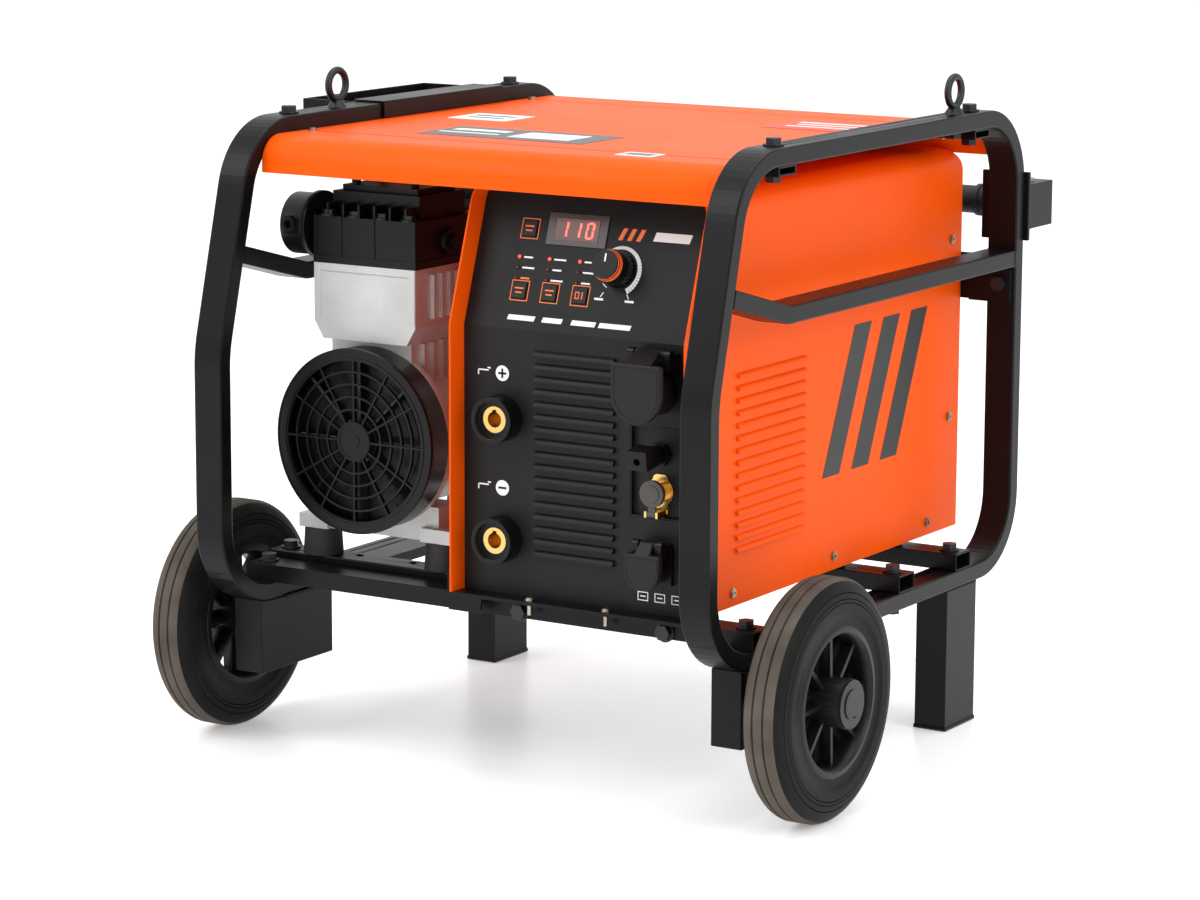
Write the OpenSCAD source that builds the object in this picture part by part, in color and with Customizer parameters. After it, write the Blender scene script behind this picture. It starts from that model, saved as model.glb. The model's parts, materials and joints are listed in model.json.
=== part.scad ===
/* [Frame] */
// Width over the outer faces of the two hoops
frame_w = 504; // [480:1:640]
// Depth of a hoop, front post to rear post
frame_d = 549; // [520:1:680]
// Height of the top of the hoops above the floor
frame_top = 541; // [535:1:660]
// Height of the underside of the hoops above the floor
frame_base = 126; // [122:1:134]
// Width of the frame tube, across the machine
tube_w = 28; // [26:0.5:34]
// Thickness of the frame tube
tube_t = 15; // [13:0.5:18]
// Wall of the frame tube
tube_wall = 1.5; // [1:0.1:2.5]
// Outer bend radius of the hoop corners
bend_r = 70; // [60:1:76]
// Outer bend radius of the knee in the front post
knee_r = 120; // [90:1:150]
// Height at which the knee starts
knee_h = 334; // [320:1:350]
// Backward lean of the upper front post in degrees
lean = 14.7; // [10:0.1:17]
// Height of the top of the side bars
bar_top = 413; // [405:1:420]
// Distance from the hoop front to the bend in the side bars
bar_bend = 130; // [115:1:150]

/* [Rails] */
// Distance from the end of the lower front bend to the front rail
front_rail_gap = 0; // [0:0.5:3]
// Gap between the front rail and the pump rail
pump_rail_gap = 4; // [2:0.5:8]
// Distance from the hoop back to the far face of the middle rail
middle_rail_back = 199; // [190:1:210]
// Distance from the hoop back to the far face of the rear rail
rear_rail_back = 92; // [86:1:96]
// Height of the spacers under the pump rail
spacer_h = 6; // [4:0.5:8]
// Height of the canopy rails
canopy_rail_h = 8; // [6:0.5:12]
// Distance from the ends of the upper bends to the canopy rails
canopy_rail_gap = 1; // [0:0.5:10]

/* [Wheels and legs] */
// Diameter of the wheels
wheel_d = 200; // [196:1:206]
// Width of a tyre
tyre_w = 39; // [34:1:44]
// Diameter of the plastic rim, where the tyre sits on it
rim_d = 124; // [112:1:132]
// Diameter of the wheel hub
hub_d = 41; // [34:0.5:46]
// Length of the wheel hub
hub_l = 50; // [44:0.5:54]
// Diameter of the wheel axles
axle_d = 20; // [16:0.5:24]
// Distance from the hoop front to the axle
axle_y = 105; // [104:0.5:108]
// Gap between the axle box and the wheel hub
hub_gap = 20; // [16:0.5:26]
// Radial clearance of parts that turn on a shaft
run_gap = 0.05; // [0.03:0.01:0.1]
// Number of spokes in a rim
spokes = 8; // [6:1:10]
// Length of an axle box
axle_box_l = 104; // [96:1:112]
// Width of a rear leg across the machine
leg_w = 30; // [26:1:34]
// Length of a rear leg along the machine
leg_l = 56; // [50:1:62]
// Distance from the hoop back to the rear face of the legs
leg_back = 80; // [74:1:90]

/* [Cutter unit] */
// Width of the cutter unit
unit_w = 226; // [220:1:250]
// Gap between the unit and the right hoop
unit_gap = 27; // [20:1:30]
// Distance from the hoop front to the front edge of the cover
unit_front = 54; // [50:1:58]
// Depth of the front panel inside the cover
recess = 20; // [16:0.5:24]
// Gap between the unit and the canopy rails
unit_top_gap = 16; // [12:1:22]
// Height of the lower, upright part of the front panel
panel_low_h = 223; // [220:1:226]
// Backward slope of the upper part of the front panel in degrees
slope = 18.3; // [15:0.1:20]
// Sheet thickness of the cover and panels
sheet = 1.5; // [1.2:0.1:2]
// Radius of the long top edges of the cover
cover_r = 18; // [12:1:22]
// Thickness of the shelf plate and of the pads under the unit
shelf_t = 3; // [2:0.5:4]
// Diameter of the collar of an output socket
collar_d = 39; // [34:0.5:44]
// Bore of an output socket
socket_bore = 13.2; // [10:0.1:14]
// Diameter of the control knob
knob_d = 30; // [26:0.5:32]
// Side of a square push button
button_s = 12.6; // [11:0.1:13.5]
// Travel of a push button
button_travel = 0.8; // [0.5:0.1:1]
// Clearance round push buttons and small fittings
fit_gap = 0.2; // [0.15:0.05:0.3]

/* [Compressor] */
// Distance from the left hoop to the pump centre line
pump_inset = 84.5; // [83:0.5:86]
// Width of the pump heads
head_w = 105; // [100:1:110]
// Distance between the front and rear rubber mounts
mount_pitch_y = 220; // [216:1:226]
// Distance between the left and right rubber mounts
mount_pitch_x = 127; // [122:1:132]
// Height of the rubber mounts
mount_h = 24; // [22:1:26]
// Diameter of the fan covers
fan_cover_d = 159; // [150:1:162]
// Diameter of the pump shaft
shaft_d = 12; // [10:0.5:16]
// Number of spokes in a fan cover
cover_spokes = 12; // [8:1:12]

/* [Handles, tray and canopy] */
// Diameter of the handle tubes
handle_d = 25; // [22:0.5:26]
// Length of a handle from its pivot
handle_l = 190; // [150:1:200]
// Diameter of the handle pivot pins
pivot_d = 10; // [8:0.5:12]
// Height of the handle tubes above the floor
handle_h = 449; // [446:1:452]
// Length of the tool tray
tray_l = 190; // [160:1:200]
// Width of the tool tray outside the hoop
tray_w = 58; // [48:1:66]
// Depth of the tool tray
tray_h = 44; // [36:1:50]
// Height of the folded canopy edges
canopy_lip = 31; // [28:1:36]
// Distance from the hoop front to the front edge of the canopy
canopy_front = 60; // [57:1:62]

/* [Hidden] */

round_fn = 72;
small_fn = 32;
eps = 0.01;

// Main places: x from the middle, y from the middle of the whole depth, z from the floor
bracket_t = 4;
clevis_l = 53;
all_d = frame_d + bracket_t + clevis_l;
front_y = -all_d / 2;
back_y = front_y + frame_d;
side_x = frame_w / 2;
inner_x = side_x - tube_w;
tube_x = side_x - tube_w / 2;
rail_z = frame_base + tube_t;
rail_top = rail_z + tube_t;
pump_rail_z = rail_z + spacer_h;
pump_rail_top = pump_rail_z + tube_t;
canopy_rail_z = frame_top - tube_t - canopy_rail_h;

// Fasteners
bolt_d = 8;
bolt_hole = 8.8;
bolt_flange_d = 17;
bolt_flange_h = 1.6;
bolt_af = 12;
bolt_head_h = 6.5;
nut_h = 6;
screw_d = 4;
screw_hole = 4.4;
screw_head_d = 8;
screw_head_h = 2.6;

// Front knee and corner centres of the hoop, in its own plane
corner_y = knee_r + (sin(lean) * (frame_top - bend_r - knee_h) + bend_r - knee_r) / cos(lean);

// Rows of bolts, measured along the machine
front_rail_y = bend_r + front_rail_gap;
pump_rail_y = front_rail_y + tube_w + pump_rail_gap;
front_bolt_y = front_y + front_rail_y + tube_w / 2;
pump_bolt_y = front_y + pump_rail_y + tube_w / 2;
middle_rail_y = back_y - middle_rail_back - tube_w;
middle_bolt_y = middle_rail_y + tube_w / 2;
rear_rail_y = back_y - rear_rail_back - tube_w;
rear_bolt_y = rear_rail_y + tube_w / 2;
canopy_bolt_ys = [front_y + corner_y + canopy_rail_gap + tube_w / 2,
                  back_y - bend_r - canopy_rail_gap - tube_w / 2];
brace_bolt_z = 383;

// Pump places
pump_x = -inner_x + pump_inset;
pump_front_mount = pump_bolt_y;
pump_mid_y = pump_front_mount + mount_pitch_y / 2;
foot_z = pump_rail_top + mount_h;
foot_t = 12;
shaft_z = foot_z + 86;
head_half = mount_pitch_y / 2 + 26;
fan_face = mount_pitch_y / 2 + 43;
head_z = shaft_z + 147.5;
rear_pad_h = pump_rail_top - rail_top;

// Cutter unit places
unit_right = inner_x - unit_gap;
unit_left = unit_right - unit_w;
unit_x = (unit_left + unit_right) / 2;
unit_z = rail_top + shelf_t;
unit_y = front_y + unit_front;
unit_back = back_y - tube_t + 2;
unit_top = canopy_rail_z - unit_top_gap;
panel_y = unit_y + recess;
bend_z = unit_z + panel_low_h;
edge_bend_z = bend_z + 3;
slot_x = unit_left + 190;
socket_x = unit_left + 39.5;
plus_z = unit_z + 148;
minus_z = unit_z + 46.5;
pump_socket_z = unit_z + 186;
aux_socket_z = unit_z + 41;
fitting_z = unit_z + 132;
connector_z = unit_z + 101.5;
plate_recess = 5;
rear_panel_y = unit_back - 8;
base_flange_h = 24;
fan_hub_y = rear_panel_y - 14;
fan_z = unit_z + 150;

// Upper panel places, measured up the slope from the bend
dial_s = 56;
dial_x = unit_left + 141;
display_s = 85.5;
display_x = unit_left + 96;
display_w = 57;
display_h = 26.6;
button_x = unit_left + 50;
button_pitch = 29.3;
button_row = 32;
start_row = 84;
light_x = unit_left + 44.5;
light_rows = [60, 51.2, 42.4];
light_d = 3;
board_depth = 10;

// Handle places
pivot_x = tube_x - 3;
pivot_y = back_y + 36;
clevis_w = 34;
clevis_h = 40;
sleeve_d = handle_d - 1;

// ---------- helpers ----------

// Turns a drawing of y and z into a body w wide that starts at x
module side_profile(x, w) {
    translate([x, 0, 0]) rotate([90, 0, 90]) linear_extrude(w) children();
}

// Copies a piece to the other side of the machine
module both_sides() {
    children();
    mirror([1, 0, 0]) children();
}

// A disc or bar along x that starts at x = 0
module rod_x(d, l, fn = round_fn) {
    rotate([0, 90, 0]) cylinder(d = d, h = l, $fn = fn);
}

// A disc or bar along y that starts at y = 0
module rod_y(d, l, fn = round_fn) {
    rotate([-90, 0, 0]) cylinder(d = d, h = l, $fn = fn);
}

// A box tube with open ends along x
module tube_along_x(l, w, h, wall) {
    difference() {
        cube([l, w, h]);
        translate([-1, wall, wall]) cube([l + 2, w - 2 * wall, h - 2 * wall]);
    }
}

// A bolt whose head stands on z = 0 and whose nut is at z = -grip
module flange_bolt(grip, nut = true) {
    cylinder(d = bolt_flange_d, h = bolt_flange_h, $fn = small_fn);
    cylinder(d = bolt_af / cos(30), h = bolt_head_h, $fn = 6);
    translate([0, 0, -grip - (nut ? nut_h : 0)])
        cylinder(d = bolt_d, h = grip + nut_h, $fn = small_fn);
    if (nut) translate([0, 0, -grip - nut_h]) cylinder(d = bolt_af / cos(30), h = nut_h, $fn = 6);
}

// A pan-head screw whose head stands on z = 0
module pan_screw(l) {
    difference() {
        union() {
            cylinder(d = screw_head_d, h = screw_head_h - 1, $fn = small_fn);
            cylinder(d = screw_head_d - 2, h = screw_head_h, $fn = small_fn);
            translate([0, 0, -l]) cylinder(d = screw_d, h = l + 1, $fn = small_fn);
        }
        for (a = [0, 90]) rotate(a) translate([-0.5, -2, 1]) cube([1, 4, 3]);
    }
}

// Places a piece on the sloping upper panel: x, distance up the slope, y into the unit
module on_slope(x, s) {
    translate([0, panel_y, bend_z]) rotate([-slope, 0, 0]) translate([x, 0, s]) children();
}

// A rounded rectangle with its corner at the origin
module round_rect(w, h, r) {
    union() {
        translate([r, 0]) square([w - 2 * r, h]);
        translate([0, r]) square([w, h - 2 * r]);
        for (x = [r, w - r]) for (y = [r, h - r]) translate([x, y]) circle(r, $fn = small_fn);
    }
}

// ---------- frame ----------

// Points on an arc round a centre, from one angle to another
function arc(c, r, from, to, steps = 14) =
    [for (i = [0 : steps]) let (a = from + (to - from) * i / steps) c + r * [cos(a), sin(a)]];

// Filled side view of a hoop, taken in by a margin all round
module hoop_shape(m) {
    r = bend_r - m;
    lo = frame_base + bend_r;
    hi = frame_top - bend_r;
    far = frame_d - bend_r;
    polygon(concat(arc([bend_r, lo], r, 270, 180),
                   arc([knee_r, knee_h], knee_r - m, 180, 180 - lean, 6),
                   arc([corner_y, hi], r, 180 - lean, 90),
                   arc([far, hi], r, 90, 0),
                   arc([far, lo], r, 0, -90)));
}

module hoop_ring(outer, inner) {
    difference() {
        hoop_shape(outer);
        hoop_shape(inner);
    }
}

// Holes down through the hoop for the rails, the canopy, the eye and the brace
module hoop_holes(eye_y, has_pump_rail) {
    lows = has_pump_rail ? [front_bolt_y, pump_bolt_y, middle_bolt_y, rear_bolt_y]
                         : [front_bolt_y, middle_bolt_y, rear_bolt_y];
    for (y = lows) translate([tube_x, y, frame_base - 1])
        cylinder(d = bolt_hole, h = tube_t + 2, $fn = small_fn);
    for (y = concat(canopy_bolt_ys, [eye_y])) translate([tube_x, y, frame_top - tube_t - 1])
        cylinder(d = bolt_hole, h = tube_t + 2, $fn = small_fn);
    translate([tube_x, back_y - tube_t - 1, brace_bolt_z]) rod_y(bolt_hole, tube_t + 2, small_fn);
}

module hoop(eye_y, has_pump_rail) {
    difference() {
        translate([0, front_y, 0]) side_profile(inner_x, tube_w) hoop_ring(0, tube_t);
        translate([0, front_y, 0]) side_profile(inner_x + tube_wall, tube_w - 2 * tube_wall)
            hoop_ring(tube_wall, tube_t - tube_wall);
        hoop_holes(eye_y, has_pump_rail);
    }
}

left_eye_y = front_y + 190;
right_eye_y = back_y - 114;

module left_hoop() {
    color([0.10, 0.10, 0.10]) mirror([1, 0, 0]) hoop(left_eye_y, true);
}

module right_hoop() {
    color([0.10, 0.10, 0.10]) hoop(right_eye_y, false);
}

// Side view of a side bar: level at the back, square to the leaning post at the front
module bar_shape(m) {
    r_in = 25;
    r_out = r_in + tube_t;
    centre = [bar_bend, bar_top + r_in];
    ahead = [-cos(lean), sin(lean)];
    down = [-sin(lean), -cos(lean)];
    post = [corner_y, frame_top - bend_r];
    l = (post - centre) * ahead + bend_r - tube_t;
    polygon(concat([[frame_d - tube_t, bar_top - tube_t + m]],
                   arc(centre, r_out - m, 270, 270 - lean, 4),
                   [centre + (r_out - m) * down + l * ahead,
                    centre + (r_in + m) * down + l * ahead],
                   arc(centre, r_in + m, 270 - lean, 270, 4),
                   [[frame_d - tube_t, bar_top - m]]));
}

module side_bars() {
    color([0.10, 0.10, 0.10]) both_sides() translate([0, front_y, 0]) difference() {
        side_profile(inner_x, tube_w) bar_shape(0);
        side_profile(inner_x + tube_wall, tube_w - 2 * tube_wall) bar_shape(tube_wall);
    }
}

// A rail right across the frame, on top of the bottom bars
module cross_rail(y) {
    difference() {
        translate([-side_x, y, rail_z]) tube_along_x(frame_w, tube_w, tube_t, tube_wall);
        both_sides() translate([tube_x, y + tube_w / 2, rail_z - 1])
            cylinder(d = bolt_hole, h = tube_t + 2, $fn = small_fn);
    }
}

shelf_screw_xs = [unit_left + 74, unit_left + 148];
face_bolt_xs = [unit_left + 60.5, unit_left + 200];
shelf_screw_y = unit_y + 8;
face_bolt_z = rail_z + tube_t / 2 - 1.5;

module front_rail() {
    color([0.11, 0.11, 0.11]) difference() {
        cross_rail(front_y + front_rail_y);
        for (x = face_bolt_xs) translate([x, front_y + front_rail_y - 1, face_bolt_z])
            rod_y(bolt_hole, tube_w + 2, small_fn);
    }
}

module middle_rail() {
    color([0.11, 0.11, 0.11]) cross_rail(middle_rail_y);
}

module rear_rail() {
    color([0.11, 0.11, 0.11]) cross_rail(rear_rail_y);
}

centre_rail_x = unit_left - tube_w - 3;

// The short rail under the front of the pump, with its two spacers
module pump_rail() {
    y = front_y + pump_rail_y;
    l = centre_rail_x + tube_w + side_x;
    color([0.11, 0.11, 0.11]) difference() {
        union() {
            translate([-side_x, y, pump_rail_z]) tube_along_x(l, tube_w, tube_t, tube_wall);
            translate([-side_x, y, rail_z]) cube([tube_w, tube_w, spacer_h]);
        }
        translate([-tube_x, pump_bolt_y, rail_z - 1])
            cylinder(d = bolt_hole, h = spacer_h + tube_t + 2, $fn = small_fn);
        for (x = [-1, 1]) translate([pump_x + x * mount_pitch_x / 2, pump_bolt_y, pump_rail_z - 1])
            cylinder(d = bolt_hole, h = tube_t + 2, $fn = small_fn);
        for (x = [-28, 28]) translate([pump_x + x, pump_bolt_y + 4, pump_rail_z + tube_t / 2])
            cylinder(d = 6, h = tube_t, $fn = small_fn);
    }
}

module cradle_rail() {
    y0 = front_y + pump_rail_y + tube_w;
    color([0.11, 0.11, 0.11]) translate([pump_x - 48, y0, pump_rail_z]) rotate(90)
        translate([0, -tube_w, 0])
        tube_along_x(middle_rail_y - y0, tube_w, rail_top - pump_rail_z, tube_wall);
}

module centre_rail() {
    y0 = front_y + front_rail_y + tube_w;
    color([0.11, 0.11, 0.11]) translate([centre_rail_x + tube_w, y0, pump_rail_z - tube_t])
        rotate(90) tube_along_x(middle_rail_y - y0, tube_w, tube_t, tube_wall);
}

axle_box_y = front_y + axle_y - axle_box_l / 2;
axle_z = wheel_d / 2;
axle_box_z = axle_z - 37;
axle_box_wall = 2.5;

// Box under the front corner of each hoop that holds the axle; its top follows the bend
module axle_boxes() {
    color([0.10, 0.10, 0.10]) both_sides() difference() {
        translate([inner_x, axle_box_y, axle_box_z])
            cube([tube_w, axle_box_l, frame_base + 6 - axle_box_z]);
        translate([inner_x + axle_box_wall, axle_box_y + axle_box_wall, axle_box_z + axle_box_wall])
            cube([tube_w - 2 * axle_box_wall, axle_box_l - 2 * axle_box_wall, 100]);
        translate([0, front_y, 0]) side_profile(inner_x - 1, tube_w + 2) hoop_shape(0);
        translate([inner_x + axle_box_wall, front_y + axle_y, axle_z])
            rod_x(axle_d + 2 * fit_gap, tube_w);
    }
}

// Open-topped box legs, closed at the floor by a foot plate
module rear_legs() {
    wall = 2;
    foot = 3;
    y = back_y - leg_back - leg_l;
    color([0.10, 0.10, 0.10]) both_sides() {
        difference() {
            translate([side_x - leg_w, y, foot]) cube([leg_w, leg_l, frame_base - foot]);
            translate([side_x - leg_w + wall, y + wall, foot - 1])
                cube([leg_w - 2 * wall, leg_l - 2 * wall, frame_base]);
        }
        translate([side_x - leg_w - 1, y - 1, 0]) cube([leg_w + 2, leg_l + 2, foot]);
    }
}

// Folded plate under the front of the unit, with an upright left end and a front gusset
module shelf_plate() {
    y0 = unit_y + 2;
    y1 = front_y + front_rail_y + tube_w;
    x0 = unit_left - shelf_t - 0.5;
    color([0.12, 0.12, 0.12]) difference() {
        union() {
            translate([x0, y0, rail_top]) cube([unit_right - x0, y1 - y0, shelf_t]);
            side_profile(x0, shelf_t) translate([y0, rail_top]) round_rect(26, 24, 5);
            translate([x0, y0 + shelf_t, 0]) rotate([90, 0, 0]) linear_extrude(shelf_t)
                polygon([[0, rail_top + 1], [0, rail_top - 5], [26, rail_top - 14],
                         [32, rail_top - 13], [34, rail_top + 1]]);
        }
        for (x = shelf_screw_xs) translate([x, shelf_screw_y, rail_top - 1])
            cylinder(d = screw_hole, h = shelf_t + 2, $fn = small_fn);
    }
}

brace_h = 41;

// Flat bar behind the unit, set back at its ends to bolt on the front of the rear posts
module rear_brace() {
    t = 4;
    step_x = inner_x - 16;
    y_post = back_y - tube_t - t;
    y_mid = unit_back + 1.5;
    z = brace_bolt_z - 17;
    tab_h = bar_top - tube_t - 2 - z;
    color([0.10, 0.10, 0.10]) difference() {
        union() {
            translate([-step_x - t, y_mid, z]) cube([2 * (step_x + t), t, brace_h]);
            both_sides() {
                translate([step_x, y_post, z]) cube([t, y_mid + t - y_post, tab_h]);
                translate([step_x, y_post, z]) cube([side_x - 3 - step_x, t, tab_h]);
            }
        }
        both_sides() translate([tube_x, y_post - 1, brace_bolt_z]) rod_y(bolt_hole, t + 2, small_fn);
    }
}

canopy_top = canopy_rail_z + canopy_rail_h + sheet;
canopy_r = 24;
canopy_y = front_y + canopy_front;
canopy_back = back_y - 18;
canopy_gap = 0.8;
canopy_screw_x = inner_x - 11;

// Side view of the canopy sheet: a flat top with large round folds front and back
module canopy_shape(m) {
    r = canopy_r - m;
    union() {
        translate([canopy_y + m, canopy_top - canopy_lip])
            square([canopy_back - canopy_y - 2 * m, canopy_lip - canopy_r]);
        translate([canopy_y + canopy_r, canopy_top - canopy_lip])
            square([canopy_back - canopy_y - 2 * canopy_r, canopy_lip - m]);
        for (y = [canopy_y + canopy_r, canopy_back - canopy_r])
            translate([y, canopy_top - canopy_r]) circle(r, $fn = round_fn);
    }
}

module canopy() {
    color([0.93, 0.38, 0.08]) difference() {
        side_profile(-inner_x + canopy_gap, 2 * (inner_x - canopy_gap)) difference() {
            canopy_shape(0);
            canopy_shape(sheet);
            translate([canopy_y - 1, canopy_top - canopy_lip - 2 * canopy_r])
                square([canopy_back - canopy_y + 2, 2 * canopy_r]);
        }
        both_sides() for (y = canopy_bolt_ys) translate([canopy_screw_x, y, canopy_top - 2 * sheet])
            cylinder(d = screw_hole, h = 4 * sheet, $fn = small_fn);
    }
}

module canopy_rails() {
    color([0.11, 0.11, 0.11]) for (y = canopy_bolt_ys) difference() {
        translate([-side_x + 1, y - tube_w / 2, canopy_rail_z])
            tube_along_x(frame_w - 2, tube_w, canopy_rail_h, tube_wall);
        both_sides() {
            translate([tube_x, y, canopy_rail_z - 1])
                cylinder(d = bolt_hole, h = canopy_rail_h + 2, $fn = small_fn);
            translate([canopy_screw_x, y, canopy_rail_z - 1])
                cylinder(d = screw_hole, h = canopy_rail_h + 2, $fn = small_fn);
        }
    }
}

tray_y = left_eye_y + 48;
tray_wall = 2;
tray_clear = 0.4;

// Open tray hung outside the left hoop by a saddle over its top bar
module tool_tray() {
    out_x = -side_x - tray_clear;
    lip = tray_wall + tray_clear;
    color([0.12, 0.12, 0.12]) {
        difference() {
            translate([out_x - tray_w, tray_y, frame_top - tray_h]) cube([tray_w, tray_l, tray_h]);
            translate([out_x - tray_w + tray_wall, tray_y + tray_wall,
                       frame_top - tray_h + tray_wall])
                cube([tray_w - 2 * tray_wall, tray_l - 2 * tray_wall, tray_h]);
            for (y = [tray_y + 12, tray_y + tray_l - 12])
                translate([out_x - tray_w - 1, y, frame_top - 9]) rod_x(5, tray_wall + 2, small_fn);
        }
        difference() {
            translate([out_x - tray_wall, tray_y, canopy_top + 0.5])
                cube([tube_w + 2 * lip, tray_l, frame_top + tray_wall - canopy_top - 0.5]);
            translate([out_x, tray_y - 1, canopy_top - 1])
                cube([tube_w + 2 * tray_clear, tray_l + 2, frame_top - canopy_top + 1]);
        }
    }
}

eye_ring_r = 12.6;
eye_wire_d = 6.4;
eye_neck = 4;

// Lifting eye: ring in the plane of the hoop, collar, shank through the bar and nut
module eye_bolt() {
    color([0.13, 0.13, 0.13]) {
        translate([0, 0, eye_neck + eye_ring_r + eye_wire_d / 2 - 0.6]) rotate([0, 90, 0])
            rotate_extrude($fn = round_fn) translate([eye_ring_r, 0]) circle(d = eye_wire_d, $fn = small_fn);
        cylinder(d1 = 18, d2 = 10, h = eye_neck + 2, $fn = small_fn);
        translate([0, 0, -tube_t - 6]) cylinder(d = bolt_d, h = tube_t + 7, $fn = small_fn);
        translate([0, 0, -tube_t - 6]) cylinder(d = bolt_af / cos(30), h = 6, $fn = 6);
    }
}

module eye_bolts() {
    translate([-tube_x, left_eye_y, frame_top]) eye_bolt();
    translate([tube_x, right_eye_y, frame_top]) eye_bolt();
}

// Every bolt of the frame: rails, canopy rails, brace and front rail face
module frame_bolts() {
    color([0.08, 0.08, 0.09]) {
        for (y = [front_bolt_y, middle_bolt_y, rear_bolt_y]) both_sides()
            translate([tube_x, y, rail_top]) flange_bolt(2 * tube_t);
        translate([-tube_x, pump_bolt_y, pump_rail_top]) flange_bolt(2 * tube_t + spacer_h);
        for (y = canopy_bolt_ys) both_sides()
            translate([tube_x, y, frame_top]) flange_bolt(tube_t + canopy_rail_h);
        both_sides() translate([tube_x, back_y, brace_bolt_z]) rotate([-90, 0, 0])
            flange_bolt(tube_t + 4);
        for (x = face_bolt_xs) translate([x, front_y + front_rail_y, face_bolt_z])
            rotate([90, 0, 0]) flange_bolt(tube_w, false);
    }
}

cover_screw_low_ys = [unit_y + 78, unit_y + 250, unit_back - 59];
cover_screw_low_z = unit_z + 12;
cover_screw_back_y = unit_back - 20;
cover_screw_back_zs = [unit_z + 102, unit_z + 262];

// Places a piece at each cover screw on both flanks of the unit, pointing outwards
module at_cover_screws() {
    for (side = [0, 1]) translate([side == 0 ? unit_right : unit_left, 0, 0])
        mirror([side, 0, 0]) {
            for (y = cover_screw_low_ys) translate([0, y, cover_screw_low_z])
                rotate([0, 90, 0]) children();
            for (z = cover_screw_back_zs) translate([0, cover_screw_back_y, z])
                rotate([0, 90, 0]) children();
        }
}

module cover_screws() {
    color([0.55, 0.53, 0.50]) {
        at_cover_screws() pan_screw(6);
        both_sides() for (y = canopy_bolt_ys) translate([canopy_screw_x, y, canopy_top]) pan_screw(12);
        for (x = shelf_screw_xs) translate([x, shelf_screw_y, rail_top + shelf_t]) pan_screw(12);
    }
}

// ---------- handles ----------

// Welded plate and clevis behind each rear post; the outer cheek stops the handle
module handle_brackets() {
    w = 46;
    h = 61;
    y = back_y;
    z0 = handle_h - clevis_h / 2;
    color([0.10, 0.10, 0.10]) both_sides() difference() {
        union() {
            translate([tube_x - w / 2 - 5, y, handle_h - 29]) cube([w, bracket_t, h]);
            translate([side_x - clevis_w, y + bracket_t, z0]) difference() {
                cube([clevis_w, clevis_l, clevis_h]);
                translate([-1, -1, bracket_t])
                    cube([clevis_w - 2, clevis_l + 2, clevis_h - 2 * bracket_t]);
            }
        }
        translate([pivot_x, pivot_y, z0 - 1])
            cylinder(d = pivot_d + 2 * fit_gap, h = clevis_h + 2, $fn = small_fn);
    }
}

module handle_pins() {
    z0 = handle_h - clevis_h / 2;
    color([0.55, 0.53, 0.50]) both_sides() translate([pivot_x, pivot_y, z0]) {
        translate([0, 0, -3]) cylinder(d = pivot_d, h = clevis_h + 3, $fn = round_fn);
        translate([0, 0, clevis_h]) cylinder(d = pivot_d + 6, h = 3, $fn = small_fn);
        translate([0, 0, -3]) cylinder(d = pivot_d + 4, h = 3 - eps, $fn = small_fn);
    }
}

// A swinging handle: pivot sleeve, tube with a collar, and a ribbed end grip
module handle() {
    sleeve_h = clevis_h - 2 * bracket_t - 0.6;
    grip_l = 105;
    color([0.12, 0.12, 0.12]) translate([pivot_x, pivot_y, handle_h]) difference() {
        union() {
            translate([0, 0, -sleeve_h / 2]) cylinder(d = sleeve_d, h = sleeve_h, $fn = round_fn);
            translate([-handle_l, 0, 0]) rod_x(handle_d, handle_l - pivot_d / 2);
            translate([-46, 0, 0]) rod_x(handle_d + 4, 4);
            translate([-handle_l - 2, 0, 0]) rod_x(handle_d + 5, 4);
            for (i = [0 : 9]) translate([-handle_l + 6 + i * grip_l / 10, 0, 0])
                rod_x(handle_d + 2, grip_l / 10 - 3, small_fn);
        }
        translate([0, 0, -sleeve_h])
            cylinder(r = pivot_d / 2 + run_gap, h = 2 * sleeve_h, $fn = round_fn);
    }
}

module right_handle() {
    handle();
}

module left_handle() {
    mirror([1, 0, 0]) handle();
}

// ---------- wheels ----------

hub_in = side_x + hub_gap;
hub_out = hub_in + hub_l;
tyre_out = hub_out - 9;
tyre_in = tyre_out - tyre_w;
axle_end = hub_out + 3.5;

module wheel_axles() {
    color([0.16, 0.16, 0.16]) both_sides() translate([0, front_y + axle_y, axle_z]) {
        translate([inner_x + axle_box_wall, 0, 0]) rod_x(axle_d, axle_end - inner_x - axle_box_wall);
        translate([side_x, 0, 0]) rod_x(axle_d + 8, hub_gap - 0.4);
        translate([hub_out + 0.4, 0, 0]) rod_x(hub_d - 1, 2);
    }
}

// Half section of the rim as radius and distance from the outer tyre face
module rim_section() {
    r = rim_d / 2;
    polygon([[r - 5, 0], [r, -1], [r, -tyre_w + 1], [r - 5, -tyre_w], [r - 8, -tyre_w + 4],
             [r - 10, -tyre_w / 2], [r - 8, -4]]);
}

// Plastic rim along x with its outer face at x = 0: ring, hub and broad channel spokes
module rim() {
    ring_r = rim_d / 2 - 8;
    spoke_half = 9;
    difference() {
        union() {
            rotate([0, 90, 0]) rotate_extrude($fn = 2 * round_fn) rim_section();
            translate([tyre_in - tyre_out - (tyre_in - hub_in), 0, 0]) rod_x(hub_d, hub_l);
            translate([-tyre_w / 2 - 2, 0, 0]) for (i = [0 : spokes - 1]) rotate([i * 360 / spokes + 2, 0, 0]) {
                rotate([90, 0, 90]) linear_extrude(4)
                    polygon([[-6, 10], [6, 10], [spoke_half, ring_r], [-spoke_half, ring_r]]);
                translate([-8, -2, 10]) cube([22, 4, ring_r - 10]);
            }
        }
        translate([-hub_l, 0, 0]) rod_x(axle_d + 2 * run_gap, 2 * hub_l);
    }
}

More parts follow.
